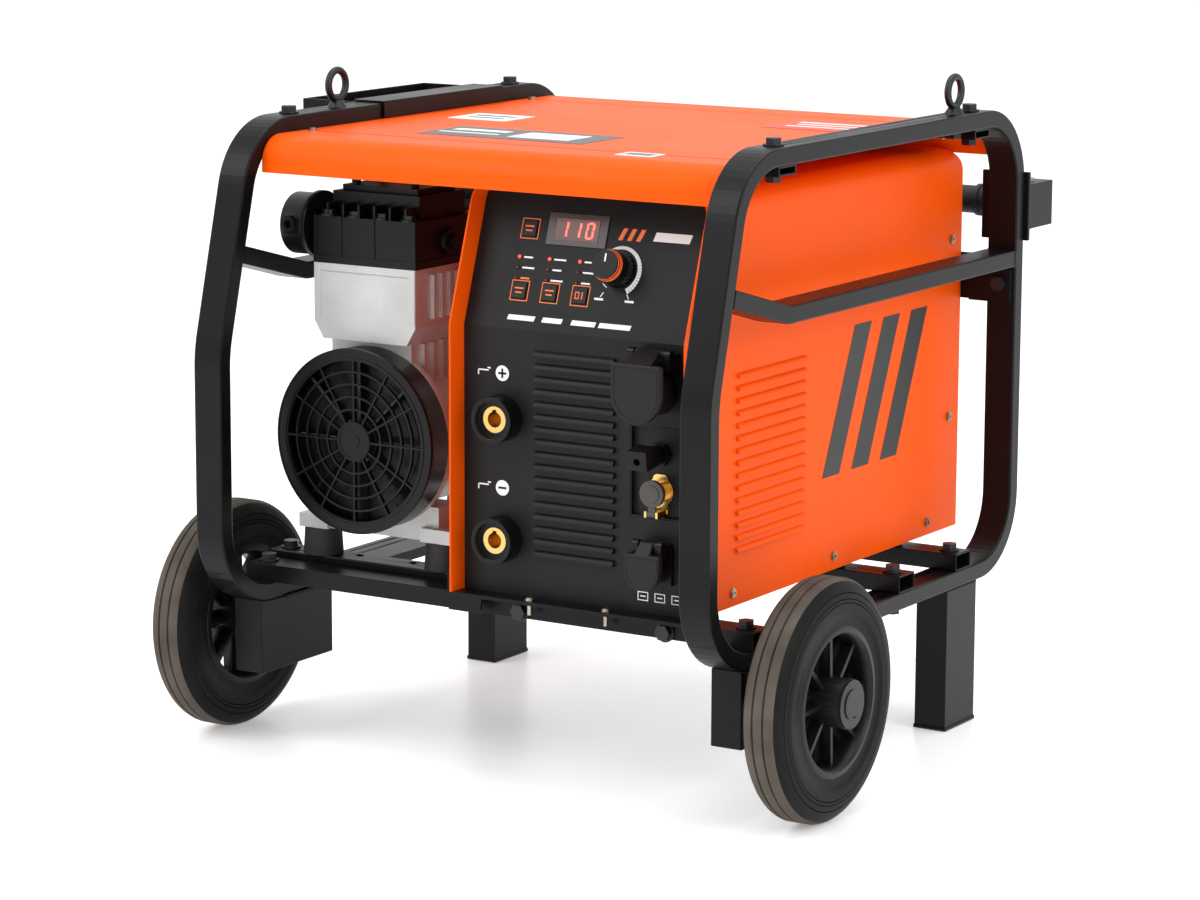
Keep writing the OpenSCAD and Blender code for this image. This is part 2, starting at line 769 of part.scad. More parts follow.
// Half section of the tyre: flat ribbed tread, round shoulders and a recessed side wall
module tyre_section() {
    r = wheel_d / 2;
    ri = rim_d / 2;
    w = tyre_w;
    g = 1.6;
    polygon([[ri, -1], [ri + 8, -1.2], [ri + 11, 0], [r - 16, 0], [r - 8, -2.5], [r - 3, -5.5],
             [r, -9], [r, -w / 2 + 7], [r - 3, -w / 2 + 7 - g / 2], [r, -w / 2 + 7 - g],
             [r, -w / 2 - 7 + g], [r - 3, -w / 2 - 7 + g / 2], [r, -w / 2 - 7], [r, -w + 9],
             [r - 3, -w + 5.5], [r - 8, -w + 2.5], [r - 16, -w], [ri + 11, -w], [ri + 8, -w + 1.2],
             [ri, -w + 1]]);
}

// Turns a half section of radius and depth into a ring round the x axis, outwards at x = 0
module ring_x() {
    rotate([0, 90, 0]) rotate_extrude($fn = 2 * round_fn) children();
}

module place_right_wheel() {
    translate([tyre_out, front_y + axle_y, axle_z]) children();
}

module place_left_wheel() {
    mirror([1, 0, 0]) place_right_wheel() children();
}

module right_rim() {
    color([0.13, 0.13, 0.13]) place_right_wheel() rim();
}

module left_rim() {
    color([0.13, 0.13, 0.13]) place_left_wheel() rim();
}

module right_tyre() {
    color([0.17, 0.16, 0.15]) place_right_wheel() ring_x() tyre_section();
}

module left_tyre() {
    color([0.17, 0.16, 0.15]) place_left_wheel() ring_x() tyre_section();
}

// ---------- cutter unit ----------

rear_r = 24;

// Side view of the cover: upright lower front, sloping upper front, round rear top corner
module cover_side(m) {
    run = (unit_top - edge_bend_z) * tan(slope);
    polygon(concat([[unit_y, unit_z - m], [unit_y, edge_bend_z], [unit_y + run, unit_top],
                    [unit_y + run, unit_top - m]],
                   arc([unit_back - rear_r, unit_top - rear_r], rear_r - m, 90, 0),
                   [[unit_back - m, unit_z - m]]));
}

// End view of the cover with its two rounded long edges
module cover_end(m) {
    r = cover_r - m;
    x0 = unit_left + cover_r;
    x1 = unit_right - cover_r;
    z = unit_top - cover_r;
    polygon(concat([[unit_left + m, unit_z - 1], [unit_right - m, unit_z - 1]],
                   arc([x1, z], r, 0, 90), arc([x0, z], r, 90, 180)));
}

module cover_block(m) {
    intersection() {
        side_profile(unit_left - 1, unit_w + 2) cover_side(m);
        translate([0, unit_back + 1, 0]) rotate([90, 0, 0])
            linear_extrude(unit_back - unit_y + 2) cover_end(m);
    }
}

side_louvres = 15;
side_louvre_pitch = 10.3;
side_louvre_l = 114;
side_louvre_y = unit_y + 82;
side_louvre_z = unit_z + 45;

// One pressed louvre: a quarter-round hood along y, open underneath, bulging towards +x
module hood(l, r) {
    difference() {
        translate([0, l, 0]) rotate([90, 0, 0]) linear_extrude(l)
            polygon(concat([[0, 0]], arc([0, 0], r, 0, 90, 6)));
        translate([0, l - 1, 0]) rotate([90, 0, 0]) linear_extrude(l - 2)
            polygon(concat([[0.5, -1], [r - 1, -1]], arc([0, 0], r - 1, 0, 80, 6), [[0.5, r - 1.2]]));
    }
}

module unit_cover() {
    hood_r = 4;
    color([0.95, 0.36, 0.06]) difference() {
        union() {
            difference() {
                cover_block(0);
                cover_block(sheet);
                translate([unit_left + sheet, rear_panel_y, unit_z - 2])
                    cube([unit_w - 2 * sheet, 40, unit_top - rear_r - unit_z + 2]);
                translate([unit_left + sheet, unit_y - 1, unit_z - 2])
                    cube([unit_w - 2 * sheet, 40, unit_top - cover_r - unit_z - 30]);
                translate([unit_left + sheet, unit_y - 1, unit_z - 2])
                    cube([unit_w - 2 * sheet, unit_back - unit_y + 2, 4]);
            }
            for (side = [0, 1]) translate([side == 0 ? unit_right : unit_left, 0, 0])
                mirror([side, 0, 0]) for (i = [0 : side_louvres - 1])
                    translate([-0.5, side_louvre_y, side_louvre_z + i * side_louvre_pitch])
                        hood(side_louvre_l, hood_r);
        }
        for (side = [0, 1]) translate([side == 0 ? unit_right : unit_left, 0, 0])
            mirror([side, 0, 0]) for (i = [0 : side_louvres - 1])
                translate([-sheet - 1, side_louvre_y + 1.5,
                           side_louvre_z + i * side_louvre_pitch])
                    cube([sheet + 1.4, side_louvre_l - 3, 2.6]);
        at_cover_screws() translate([0, 0, -10]) cylinder(d = screw_hole, h = 20, $fn = small_fn);
    }
}

// Bottom tray of the unit with upright flanges inside the cover
module unit_base() {
    gap = fit_gap;
    x0 = unit_left + sheet + gap;
    w = unit_w - 2 * (sheet + gap);
    y0 = panel_y + sheet + 0.5;
    l = rear_panel_y - y0;
    color([0.60, 0.62, 0.63]) difference() {
        translate([x0, y0, unit_z]) cube([w, l, base_flange_h]);
        translate([x0 + sheet, y0 - 1, unit_z + sheet])
            cube([w - 2 * sheet, l + 2, base_flange_h]);
        at_cover_screws() translate([0, 0, -10]) cylinder(d = screw_hole, h = 20, $fn = small_fn);
        for (x = [unit_x - 60, unit_x, unit_x + 60]) for (i = [0 : 5])
            translate([x - 20, panel_y + 150 + i * 9, unit_z - 1]) cube([40, 3.5, sheet + 2]);
    }
}

front_louvres = 17;
front_louvre_pitch = 10.4;
front_louvre_x = unit_left + 72;
front_louvre_l = 77;
front_louvre_z = unit_z + 35.5;

panel_gap = 0.3;
plate_w = 54;
plate_h = 76;
plate_x = slot_x - plate_w / 2;
plate_z = unit_z + 79;

// Outline of the front panel seen square on, with or without rounded top corners
module panel_outline(h, round_top) {
    w = unit_w - 2 * (sheet + panel_gap);
    r = round_top ? cover_r - sheet : 0.5;
    polygon(concat([[0, 0], [w, 0]], arc([w - r, h - r], r, 0, 90, 10),
                   arc([r, h - r], r, 90, 180, 10)));
}

// Front louvre: like the side ones, turned to bulge forwards
module front_hood(l, r) {
    rotate(-90) hood(l, r);
}

module front_panel() {
    up = (unit_top - sheet - 1.2 - bend_z) / cos(slope);
    x0 = unit_left + sheet + panel_gap;
    t = sheet + 0.5;
    color([0.13, 0.13, 0.13]) difference() {
        union() {
            translate([x0, panel_y + t, unit_z]) rotate([90, 0, 0]) linear_extrude(t)
                panel_outline(bend_z - unit_z, false);
            on_slope(x0, 0) translate([0, t, 0]) rotate([90, 0, 0]) linear_extrude(t)
                panel_outline(up, true);
            for (i = [0 : front_louvres - 1])
                translate([front_louvre_x, panel_y + 0.5, front_louvre_z + i * front_louvre_pitch])
                    front_hood(front_louvre_l, 5);
        }
        for (i = [0 : front_louvres - 1])
            translate([front_louvre_x + 1.5, panel_y - 0.6, front_louvre_z + i * front_louvre_pitch])
                cube([front_louvre_l - 3, t + 2, 3.4]);
        for (z = [plus_z, minus_z]) translate([socket_x, panel_y - 1, z])
            rod_y(collar_d - 8 + 2 * fit_gap, t + 2);
        translate([slot_x, panel_y - 1, pump_socket_z]) rod_y(36 + 2 * fit_gap, t + 2);
        translate([slot_x, panel_y - 1, aux_socket_z]) rod_y(24 + 2 * fit_gap, t + 2);
        translate([plate_x, panel_y - 1, plate_z]) cube([plate_w, t + 2, plate_h]);
        upper_panel_cuts();
    }
}

// Openings in the sloping panel for the display, buttons, lights and knob shaft
module upper_panel_cuts() {
    s = button_s + 2 * fit_gap;
    on_slope(display_x - 21 - fit_gap, display_s - 9.5 - fit_gap) translate([0, -5, 0])
        cube([42 + 2 * fit_gap, 12, 19 + 2 * fit_gap]);
    for (i = [0 : 2]) on_slope(button_x + i * button_pitch - s / 2, button_row - s / 2)
        translate([0, -5, 0]) cube([s, 12, s]);
    on_slope(button_x - s / 2, start_row - s / 2) translate([0, -5, 0]) cube([s, 12, s]);
    for (i = [0 : 2]) for (r = light_rows) on_slope(light_x + i * button_pitch, r)
        translate([0, -5, 0]) rod_y(light_d + 0.3, 12, small_fn);
    on_slope(dial_x, dial_s) translate([0, -5, 0]) rod_y(7.4, 12, small_fn);
}

// Push button behind the panel with its square cap standing proud
module push_button(x, s) {
    cap_out = 1.4;
    t = sheet + 0.5;
    color([0.16, 0.16, 0.16]) on_slope(x, s) {
        translate([-button_s / 2, -cap_out, -button_s / 2])
            cube([button_s, cap_out + t + 0.4, button_s]);
        translate([-button_s / 2 - 1, t + 0.3, -button_s / 2 - 1])
            cube([button_s + 2, 1.2, button_s + 2]);
        translate([-2, t + 1.4, -2]) cube([4, board_depth - t - 1.4 - button_travel - 0.2, 4]);
    }
}

module start_button() {
    push_button(button_x, start_row);
}

module mode_button() {
    push_button(button_x, button_row);
}

module air_button() {
    push_button(button_x + button_pitch, button_row);
}

module trigger_button() {
    push_button(button_x + 2 * button_pitch, button_row);
}

// Display bezel, its number module, the circuit board behind and the knob's rotary control
module display() {
    t = sheet + 0.5;
    board_x0 = unit_left + 32;
    board_x1 = dial_x + 24;
    color([0.25, 0.24, 0.23]) {
        on_slope(display_x, display_s) {
            translate([-display_w / 2, -1.2, -display_h / 2]) cube([display_w, 1.2, display_h]);
            translate([-21, -1.2, -9.5]) cube([42, board_depth + 1.2, 19]);
        }
        on_slope(0, 0) translate([board_x0, board_depth, button_row - 14])
            cube([board_x1 - board_x0, 1.6, start_row + 14 - button_row + 14]);
        on_slope(dial_x, dial_s) difference() {
            translate([0, t + 1.5, 0]) rod_y(18, board_depth - t - 1.5 + eps, small_fn);
            translate([0, 0, 0]) rod_y(6 + 2 * run_gap, board_depth - 1, small_fn);
        }
    }
}

module indicator_lights() {
    color([0.75, 0.10, 0.08]) for (i = [0 : 2]) for (r = light_rows)
        on_slope(light_x + i * button_pitch, r) {
            translate([0, -0.5, 0]) rod_y(light_d, board_depth + 0.5, small_fn);
        }
}

// Control knob: knurled skirt, narrower cap with a raised ring, and its shaft
module control_knob() {
    h = 24;
    color([0.14, 0.14, 0.14]) on_slope(dial_x, dial_s) difference() {
        union() {
            translate([0, -h, 0]) rod_y(knob_d - 6, 10);
            translate([0, -h + 2, 0]) rod_y(knob_d - 4, 7);
            translate([0, -h + 9, 0]) rod_y(knob_d - 2, 5);
            translate([0, -h + 13, 0]) rod_y(knob_d, h - 14);
            translate([0, -2, 0]) rod_y(6, board_depth - 1, small_fn);
        }
        for (i = [0 : 23]) rotate([0, i * 15, 0]) translate([knob_d / 2, -h + 14, 0])
            rod_y(1.6, 8, 16);
    }
}

// Round plastic collar of an output socket on the panel
module output_collar() {
    t = sheet + 0.5;
    out = 18;
    difference() {
        union() {
            translate([0, -out, 0]) rod_y(collar_d, out);
            rod_y(collar_d - 8, t + 14);
            translate([0, t + 0.2, 0]) rod_y(collar_d + 2, 5);
        }
        translate([0, -out - 1, 0]) rod_y(collar_d - 8, 7);
        translate([0, -out - 1, 0]) rod_y(22, out + t + 20);
    }
}

module output_collars() {
    color([0.12, 0.12, 0.12]) for (z = [plus_z, minus_z])
        translate([socket_x, panel_y, z]) output_collar();
}

// Brass contact with the plug bore and its key slot
module output_contacts() {
    t = sheet + 0.5;
    color([0.80, 0.62, 0.30]) for (z = [plus_z, minus_z]) translate([socket_x, panel_y, z])
        difference() {
            translate([0, -12, 0]) rod_y(22, t + 32);
            translate([0, -13, 0]) rod_y(socket_bore, 27);
            translate([-2, -13, 0]) cube([4, 12, socket_bore / 2 + 1.6]);
        }
}

// Recessed plate that carries the air fitting and the control connector
module socket_plate() {
    lip = 3;
    color([0.14, 0.14, 0.14]) difference() {
        union() {
            translate([plate_x + fit_gap, panel_y, plate_z + fit_gap])
                cube([plate_w - 2 * fit_gap, plate_recess + sheet, plate_h - 2 * fit_gap]);
            translate([plate_x - lip, panel_y + sheet + 0.5, plate_z - lip])
                cube([plate_w + 2 * lip, plate_recess - 0.5, plate_h + 2 * lip]);
        }
        translate([plate_x + sheet, panel_y - 1, plate_z + sheet])
            cube([plate_w - 2 * sheet, plate_recess + 1, plate_h - 2 * sheet]);
        translate([slot_x, panel_y, fitting_z]) rod_y(12 + 2 * fit_gap, 20, small_fn);
        translate([slot_x, panel_y, connector_z]) rod_y(17 + 2 * fit_gap, 20, small_fn);
    }
}

module air_fitting() {
    y = panel_y + plate_recess;
    color([0.09, 0.09, 0.09]) translate([slot_x, y, fitting_z]) difference() {
        union() {
            translate([0, -6, 0]) rotate([-90, 0, 0]) cylinder(d = 20, h = 6, $fn = 6);
            translate([0, -22, 0]) rod_y(16, 17, small_fn);
            translate([-9, -38, -8]) rotate([8, 0, 0]) cube([18, 18, 16]);
            rod_y(12, 12, small_fn);
        }
        translate([0, -40, -1]) rotate([8, 0, 0]) rod_y(6, 16, small_fn);
    }
}

connector_out = 12;
strap_z = -17;
strap_pin_d = 2;

// Brass aviation connector with its two-screw flange
module torch_connector() {
    y = panel_y + plate_recess;
    color([0.78, 0.58, 0.30]) translate([slot_x, y, connector_z]) difference() {
        union() {
            rotate([90, 0, 0]) linear_extrude(2) union() {
                circle(d = 24, $fn = round_fn);
                translate([-7, -20]) round_rect(14, 34, 4);
            }
            translate([0, -connector_out, 0]) rod_y(17, connector_out + 12);
            for (x = [-1, 1]) translate([x * 5.3 - 1, -connector_out - 4.8, strap_z - 2.5])
                cube([2, connector_out + 4.8, 5]);
            translate([-6, -connector_out - 2.4, strap_z]) rod_x(strap_pin_d, 12, small_fn);
        }
        translate([0, -connector_out - 1, 0]) rod_y(13, 9);
    }
}

// Rubber cap on a strap, hinged on the lugs at the bottom of the connector flange
module connector_cap() {
    y = panel_y + plate_recess - connector_out;
    color([0.20, 0.20, 0.20]) translate([slot_x, y, connector_z]) difference() {
        union() {
            translate([0, -4.4, 0]) rod_y(22, 4);
            translate([0, -5, 0]) rod_y(14, 3);
            translate([-3.5, -3.4, strap_z]) cube([7, 2, 10]);
            translate([-4, -2.4, strap_z]) rod_x(5, 8, small_fn);
        }
        translate([-5, -2.4, strap_z]) rod_x(strap_pin_d + 2 * run_gap, 10, small_fn);
    }
}

pump_lid_y = -38;
pump_pivot_y = -14;
pump_pivot_z = 30.5;
aux_lid_y = -27;
aux_pivot_y = -15;
aux_pivot_z = 19.5;

// Socket body on the panel: flange, round barrel with a cavity and a pair of hinge lugs
module flip_socket(barrel_d, barrel_out, hole_d, pivot, w, lug_x) {
    t = sheet + 0.5;
    difference() {
        union() {
            translate([-w / 2, -4, -w / 2]) cube([w, 4, w]);
            translate([0, -barrel_out, 0]) rod_y(barrel_d, barrel_out);
            rod_y(hole_d, t + 16);
            translate([0, t + 0.2, 0]) rod_y(hole_d + 6, 4);
            for (x = [-1, 1]) translate([x * lug_x - 3, min(pivot[0] - 4, -8), w / 2 - 6])
                cube([6, -min(pivot[0] - 4, -8), pivot[1] - w / 2 + 6]);
            for (x = [-1, 1]) translate([x * lug_x - 3, pivot[0], pivot[1]]) rod_x(8, 6, small_fn);
        }
        translate([0, -barrel_out - 1, 0]) rod_y(barrel_d - 7, barrel_out - 4);
        for (x = [-9.5, 9.5]) translate([x * barrel_d / 44, -5, 0]) rod_y(4.6, 12, small_fn);
        translate([-lug_x - 4, pivot[0], pivot[1]]) rod_x(3 + 2 * run_gap, 2 * lug_x + 8, small_fn);
        translate([-lug_x + 3 - eps, pivot[0] - 8, pivot[1] - 7.5])
            cube([2 * lug_x - 6 + 2 * eps, 12, 30]);
    }
}

// Spring lid: flat rounded cover, neck up to the hinge barrel, and the hinge pin
module flip_lid(w, top, bottom, lid_y, pivot, lug_x) {
    neck_w = 2 * lug_x - 7;
    r = 8;
    t = 4;
    union() {
        translate([-w / 2, lid_y + t, bottom]) rotate([90, 0, 0]) linear_extrude(t)
            round_rect(w, top - bottom, r);
        difference() {
            translate([-w / 2, lid_y + t + 3, bottom]) rotate([90, 0, 0]) linear_extrude(t)
                round_rect(w, top - bottom, r);
            translate([-w / 2 + 2, lid_y + t + 4, bottom + 2]) rotate([90, 0, 0])
                linear_extrude(t + 2) round_rect(w - 4, top - bottom - 4, r - 2);
        }
        side_profile(-neck_w / 2, neck_w)
            polygon([[lid_y, top - 4], [lid_y + t, top - 4], [pivot[0] + 2.5, pivot[1] - 2.5],
                     [pivot[0] + 2.5, pivot[1]], [pivot[0], pivot[1] + 3.5],
                     [pivot[0] - 3, pivot[1] + 2]]);
        translate([-neck_w / 2, pivot[0], pivot[1]]) rod_x(7, neck_w, small_fn);
        translate([-lug_x - 3.5, pivot[0], pivot[1]]) rod_x(3, 2 * lug_x + 7, small_fn);
    }
}

module pump_socket() {
    color([0.10, 0.10, 0.10]) translate([slot_x, panel_y, pump_socket_z])
        flip_socket(41, 33, 36, [pump_pivot_y, pump_pivot_z], 46, 17);
}

module pump_socket_lid() {
    color([0.22, 0.22, 0.22]) translate([slot_x, panel_y, pump_socket_z])
        flip_lid(46, 25, -24, pump_lid_y, [pump_pivot_y, pump_pivot_z], 17);
}

module aux_socket() {
    color([0.10, 0.10, 0.10]) translate([slot_x, panel_y, aux_socket_z])
        flip_socket(28, 22, 24, [aux_pivot_y, aux_pivot_z], 30, 11);
}

module aux_socket_lid() {
    color([0.22, 0.22, 0.22]) translate([slot_x, panel_y, aux_socket_z])
        flip_lid(33, 16.5, -16.5, aux_lid_y, [aux_pivot_y, aux_pivot_z], 11);
}

fan_d = 112;
gland_x = unit_right - 19;
gland_z = unit_z + 193;
switch_x = unit_left + 60;
switch_z = unit_z + 262;

// Rear panel with side flanges, the fan opening with its guard, and the rear fittings' holes
module rear_panel() {
    x0 = unit_left + sheet + fit_gap;
    w = unit_w - 2 * (sheet + fit_gap);
    h = unit_top - rear_r - unit_z - 0.5;
    flange = 26;
    color([0.12, 0.12, 0.12]) difference() {
        union() {
            translate([x0, rear_panel_y, unit_z]) cube([w, sheet, h]);
            for (x = [x0, x0 + w - sheet])
                translate([x, rear_panel_y - flange, unit_z + base_flange_h + 1])
                    cube([sheet, flange + sheet, h - base_flange_h - 1]);
            translate([unit_x, rear_panel_y - 8, fan_z]) rod_y(fan_d + 6, 8);
        }
        difference() {
            translate([unit_x, rear_panel_y - 9, fan_z]) rod_y(fan_d + 2, 20);
            for (r = [0 : 3]) difference() {
                translate([unit_x, rear_panel_y, fan_z]) rod_y(38 + r * 22, sheet);
                translate([unit_x, rear_panel_y - 1, fan_z]) rod_y(33 + r * 22, sheet + 2);
            }
            for (a = [45, 135]) translate([unit_x, rear_panel_y, fan_z]) rotate([0, a, 0])
                translate([-fan_d, 0, -2]) cube([2 * fan_d, sheet, 4]);
            translate([unit_x, rear_panel_y, fan_z]) rod_y(34, sheet);
        }
        translate([unit_x, rear_panel_y - 1, fan_z]) rod_y(6 + 2 * run_gap, sheet + 2, small_fn);
        translate([gland_x, rear_panel_y - 1, gland_z]) rod_y(16 + 2 * fit_gap, sheet + 2, small_fn);
        translate([switch_x, rear_panel_y - 1, switch_z]) rod_y(10 + 2 * fit_gap, sheet + 2, small_fn);
        at_cover_screws() translate([0, 0, -10]) cylinder(d = screw_hole, h = 20, $fn = small_fn);
    }
}

// Cooling fan: hub with a spindle in the guard and seven blades
module cooling_fan() {
    blades = 7;
    color([0.18, 0.18, 0.18]) translate([unit_x, rear_panel_y, fan_z]) union() {
        translate([0, -16, 0]) rod_y(36, 14);
        translate([0, -3, 0]) rod_y(6, 3 + sheet, small_fn);
        for (i = [0 : blades - 1]) rotate([0, i * 360 / blades, 0])
            translate([0, -9, 16]) rotate([0, 0, 35]) translate([-9, -0.8, 0])
                cube([18, 1.6, fan_d / 2 - 18]);
    }
}

// Rotary mains switch on the rear panel
module power_switch() {
    color([0.12, 0.12, 0.12]) translate([switch_x, rear_panel_y + sheet, switch_z]) union() {
        translate([0, -sheet - 12, 0]) rod_y(10, sheet + 13, small_fn);
        translate([0, 0.3, 0]) rod_y(30, 5);
        translate([-4, 4, -13]) cube([8, 11, 26]);
    }
}

module cable_gland() {
    color([0.12, 0.12, 0.12]) translate([gland_x, rear_panel_y + sheet, gland_z]) difference() {
        union() {
            translate([0, -sheet - 8, 0]) rod_y(16, sheet + 9, small_fn);
            rotate([-90, 0, 0]) cylinder(d = 24, h = 8, $fn = 6);
            translate([0, 7.5, 0]) rod_y(19, 9, small_fn);
            translate([0, 16, 0]) rotate([-90, 0, 0]) cylinder(d1 = 19, d2 = 14, h = 9, $fn = small_fn);
            translate([0, -sheet - 6, 0]) rotate([-90, 0, 0]) cylinder(d = 22, h = 5, $fn = 6);
        }
        translate([0, -sheet - 9, 0]) rod_y(9, 50, small_fn);
    }
}

// Inside the unit: finned heat sink on the base, circuit board, capacitors and transformer
module power_module() {
    z = unit_z + sheet;
    y0 = panel_y + 170;
    l = 180;
    color([0.55, 0.57, 0.58]) {
        translate([unit_x - 70, y0, z]) cube([140, l, 12]);
        for (i = [0 : 13]) translate([unit_x - 70 + i * 10.5, y0, z + 12]) cube([3, l, 38]);
        translate([unit_x - 72, y0, z + 50]) cube([144, l, 2]);
        for (i = [0 : 3]) translate([unit_x - 48 + i * 32, y0 + 40, z + 52])
            cylinder(d = 28, h = 45, $fn = round_fn);
        translate([unit_x, y0 + 120, z + 52]) difference() {
            cylinder(d = 90, h = 46, $fn = round_fn);
            translate([0, 0, -1]) cylinder(d = 34, h = 50, $fn = round_fn);
        }
        translate([unit_x - 45, panel_y + 60, z]) cube([90, 80, 70]);
    }
}

// ---------- compressor ----------

// Draws a piece at the front end of the pump and its mirror image at the rear end
module both_ends() {
    translate([pump_x, pump_mid_y, 0]) {
        children();
        mirror([0, 1, 0]) children();
    }
}

mount_y = mount_pitch_y / 2;

// Tapered mounts under the pump and thin pads under the cutter unit
module rubber_mounts() {
    color([0.09, 0.09, 0.09]) {
        both_ends() for (x = [-1, 1]) translate([x * mount_pitch_x / 2, -mount_y, pump_rail_top])
            cylinder(d1 = 35, d2 = 32, h = mount_h, $fn = round_fn);
        for (x = [-1, 1]) translate([pump_x + x * mount_pitch_x / 2, pump_mid_y + mount_y, rail_top])
            cylinder(d = tube_w, h = rear_pad_h, $fn = round_fn);
        for (y = [middle_rail_y, rear_rail_y]) for (x = [unit_left + 12, unit_right - 40])
            translate([x, y + 2, rail_top]) cube([28, tube_w - 4, shelf_t]);
    }
}

block_w = head_w - 1;
block_l = 104;
head_y0 = -head_half;
case_r = 66;
bore_d = 62;

// Front casting: feet, round crankcase, bevelled neck and the finned cylinder block
module pump_end() {
    block_z = shaft_z + 98;
    difference() {
        union() {
            translate([0, head_y0 + 10, shaft_z]) rod_y(2 * case_r, block_l - 20);
            translate([0, head_y0 + 10, shaft_z]) rod_y(fan_cover_d - 2, 8);
            for (x = [-1, 1]) translate([x * mount_pitch_x / 2 - 15, -mount_y - 15, foot_z])
                cube([30, 34, foot_t]);
            translate([-mount_pitch_x / 2, -mount_y - 9, foot_z]) cube([mount_pitch_x, 34, 30]);
            translate([-41, head_y0 + 10, shaft_z + 40]) cube([82, block_l - 16, 60]);
            rotate([90, 0, 0]) translate([0, 0, -head_y0 - block_l]) linear_extrude(block_l)
                polygon([[-block_w / 2 + 9, block_z - 15], [block_w / 2 - 9, block_z - 15],
                         [block_w / 2, block_z], [block_w / 2, head_z],
                         [-block_w / 2, head_z], [-block_w / 2, block_z]]);
            for (i = [0 : 5]) both_sides() translate([block_w / 2 - 1, head_y0 + 24 + i * 12, block_z + 6])
                cube([4, 3, head_z - block_z - 12]);
            for (i = [0 : 4]) both_sides() translate([40, head_y0 + 24 + i * 14, shaft_z + 50])
                cube([5, 3, 32]);
        }
        translate([0, head_y0 + block_l / 2, shaft_z]) cylinder(d = bore_d, h = head_z - shaft_z + 1, $fn = round_fn);
        translate([0, head_y0 + 22, shaft_z]) rod_y(104, block_l - 44);
        translate([0, head_y0 - 1, shaft_z]) rod_y(shaft_d + 2 * run_gap, block_l + 4);
    }
}

// Motor shell between the two castings
module motor_shell() {
    l = 2 * (head_half - block_l + 10);
    difference() {
        translate([pump_x, pump_mid_y - l / 2, shaft_z]) rod_y(2 * case_r - 6, l);
        translate([pump_x, pump_mid_y - l / 2 - 1, shaft_z]) rod_y(2 * case_r - 14, l + 2);
    }
}

module pump_body() {
    color([0.72, 0.72, 0.71]) {
        both_ends() pump_end();
        motor_shell();
    }
}

head_band = 6.5;
head_h = 40;

// Black head: base band, ribbed box, raised valve cover and a round port plug
module pump_head() {
    w = head_w;
    l = block_l;
    translate([0, head_y0, head_z]) union() {
        translate([-w / 2, 0, 0]) cube([w, l, head_band]);
        translate([-w / 2 + 1, 1, head_band]) cube([w - 2, l - 2, head_h - head_band]);
        for (x = [-w / 2 + 0.4, -26, 8, w / 2 - 3]) translate([x, 0.2, head_band]) cube([2.6, 3, head_h - head_band + 0.6]);
        for (i = [0 : 5]) translate([-w / 2 + 12 + i * 16, 3, head_h]) cube([2, 18, 11]);
        translate([-w / 2 + 8, 18, head_h]) cube([w - 16, l - 36, 20]);
        translate([-w / 2 + 14, 24, head_h + 20]) cube([w - 28, l - 48, 5]);
        for (x = [-30, 30]) for (y = [l / 2 - 20, l / 2 + 20]) translate([x, y, head_h + 25])
            cylinder(d = 8, h = 3.5, $fn = small_fn);
        translate([w / 2 - 2, l / 2, head_h / 2]) rod_x(24, 5);
        translate([w / 2 + 2, l / 2, head_h / 2]) rotate([0, 90, 0]) cylinder(d = 13, h = 4, $fn = 6);
    }
}

module pump_heads() {
    color([0.07, 0.07, 0.07]) {
        both_ends() pump_head();
        translate([pump_x + 6, pump_mid_y - head_half + block_l - 1, head_z + 30])
            rod_y(12, 2 * (head_half - block_l) + 2, small_fn);
    }
}

// Round intake filter on the outer side of each head, with a front port
module intake_filter() {
    x = -head_w / 2;
    translate([x, head_y0 + 17 + 8, head_z + 29]) difference() {
        union() {
            translate([-8, 0, 0]) rod_x(20, 9, small_fn);
            translate([-12, 0, 0]) rod_x(58, 5);
            translate([-34, 0, 0]) rod_x(53, 23);
            translate([-36, 0, 0]) rod_x(47, 3);
            translate([-24, -29, 2]) rod_y(14, 8, small_fn);
        }
        translate([-24, -30, 2]) rod_y(7, 6, small_fn);
    }
}

module intake_filters() {
    color([0.06, 0.06, 0.06]) both_ends() intake_filter();
}

// Fan cover: drum with an open front of rings and spokes
module fan_cover() {
    r = fan_cover_d / 2;
    depth = fan_face - head_half + 10;
    y0 = -fan_face;
    ring_step = 10.7;
    translate([0, y0, shaft_z]) {
        difference() {
            union() {
                translate([0, 3, 0]) rod_y(2 * r - 2, depth - 3);
                rod_y(2 * r, 4);
            }
            translate([0, 4, 0]) rod_y(2 * r - 6, depth);
            translate([0, -1, 0]) rod_y(2 * (r - 10.5), 12);
        }
        difference() {
            union() {
                for (i = [0 : 3]) difference() {
                    rod_y(2 * (27.5 + i * ring_step) + 1.6, 3);
                    translate([0, -1, 0]) rod_y(2 * (27.5 + i * ring_step) - 1.6, 5);
                }
                for (i = [0 : cover_spokes - 1]) rotate([0, i * 360 / cover_spokes, 0])
                    translate([-0.8, 0, 12]) cube([1.6, 4, r - 22]);
            }
            translate([0, -1, 0]) rod_y(30, 6);
        }
        rod_y(34, 4);
    }
}

module fan_covers() {
    color([0.08, 0.08, 0.08]) both_ends() fan_cover();
}

// Pump shaft with a fan at each end and the motor rotor in the middle
module pump_rotor() {
    l = 2 * (fan_face - 8);
    blades = 8;
    color([0.20, 0.20, 0.20]) union() {
        translate([pump_x, pump_mid_y - l / 2, shaft_z]) rod_y(shaft_d, l);
        translate([pump_x, pump_mid_y - 25, shaft_z]) rod_y(70, 50);
        both_ends() translate([0, -fan_face + 7, shaft_z]) {
            rod_y(38, 9);
            for (i = [0 : blades - 1]) rotate([0, i * 360 / blades, 0]) translate([-1, 1, 14])
                rotate([0, 0, 25]) cube([2.2, 8, fan_cover_d / 2 - 22]);
        }
    }
}

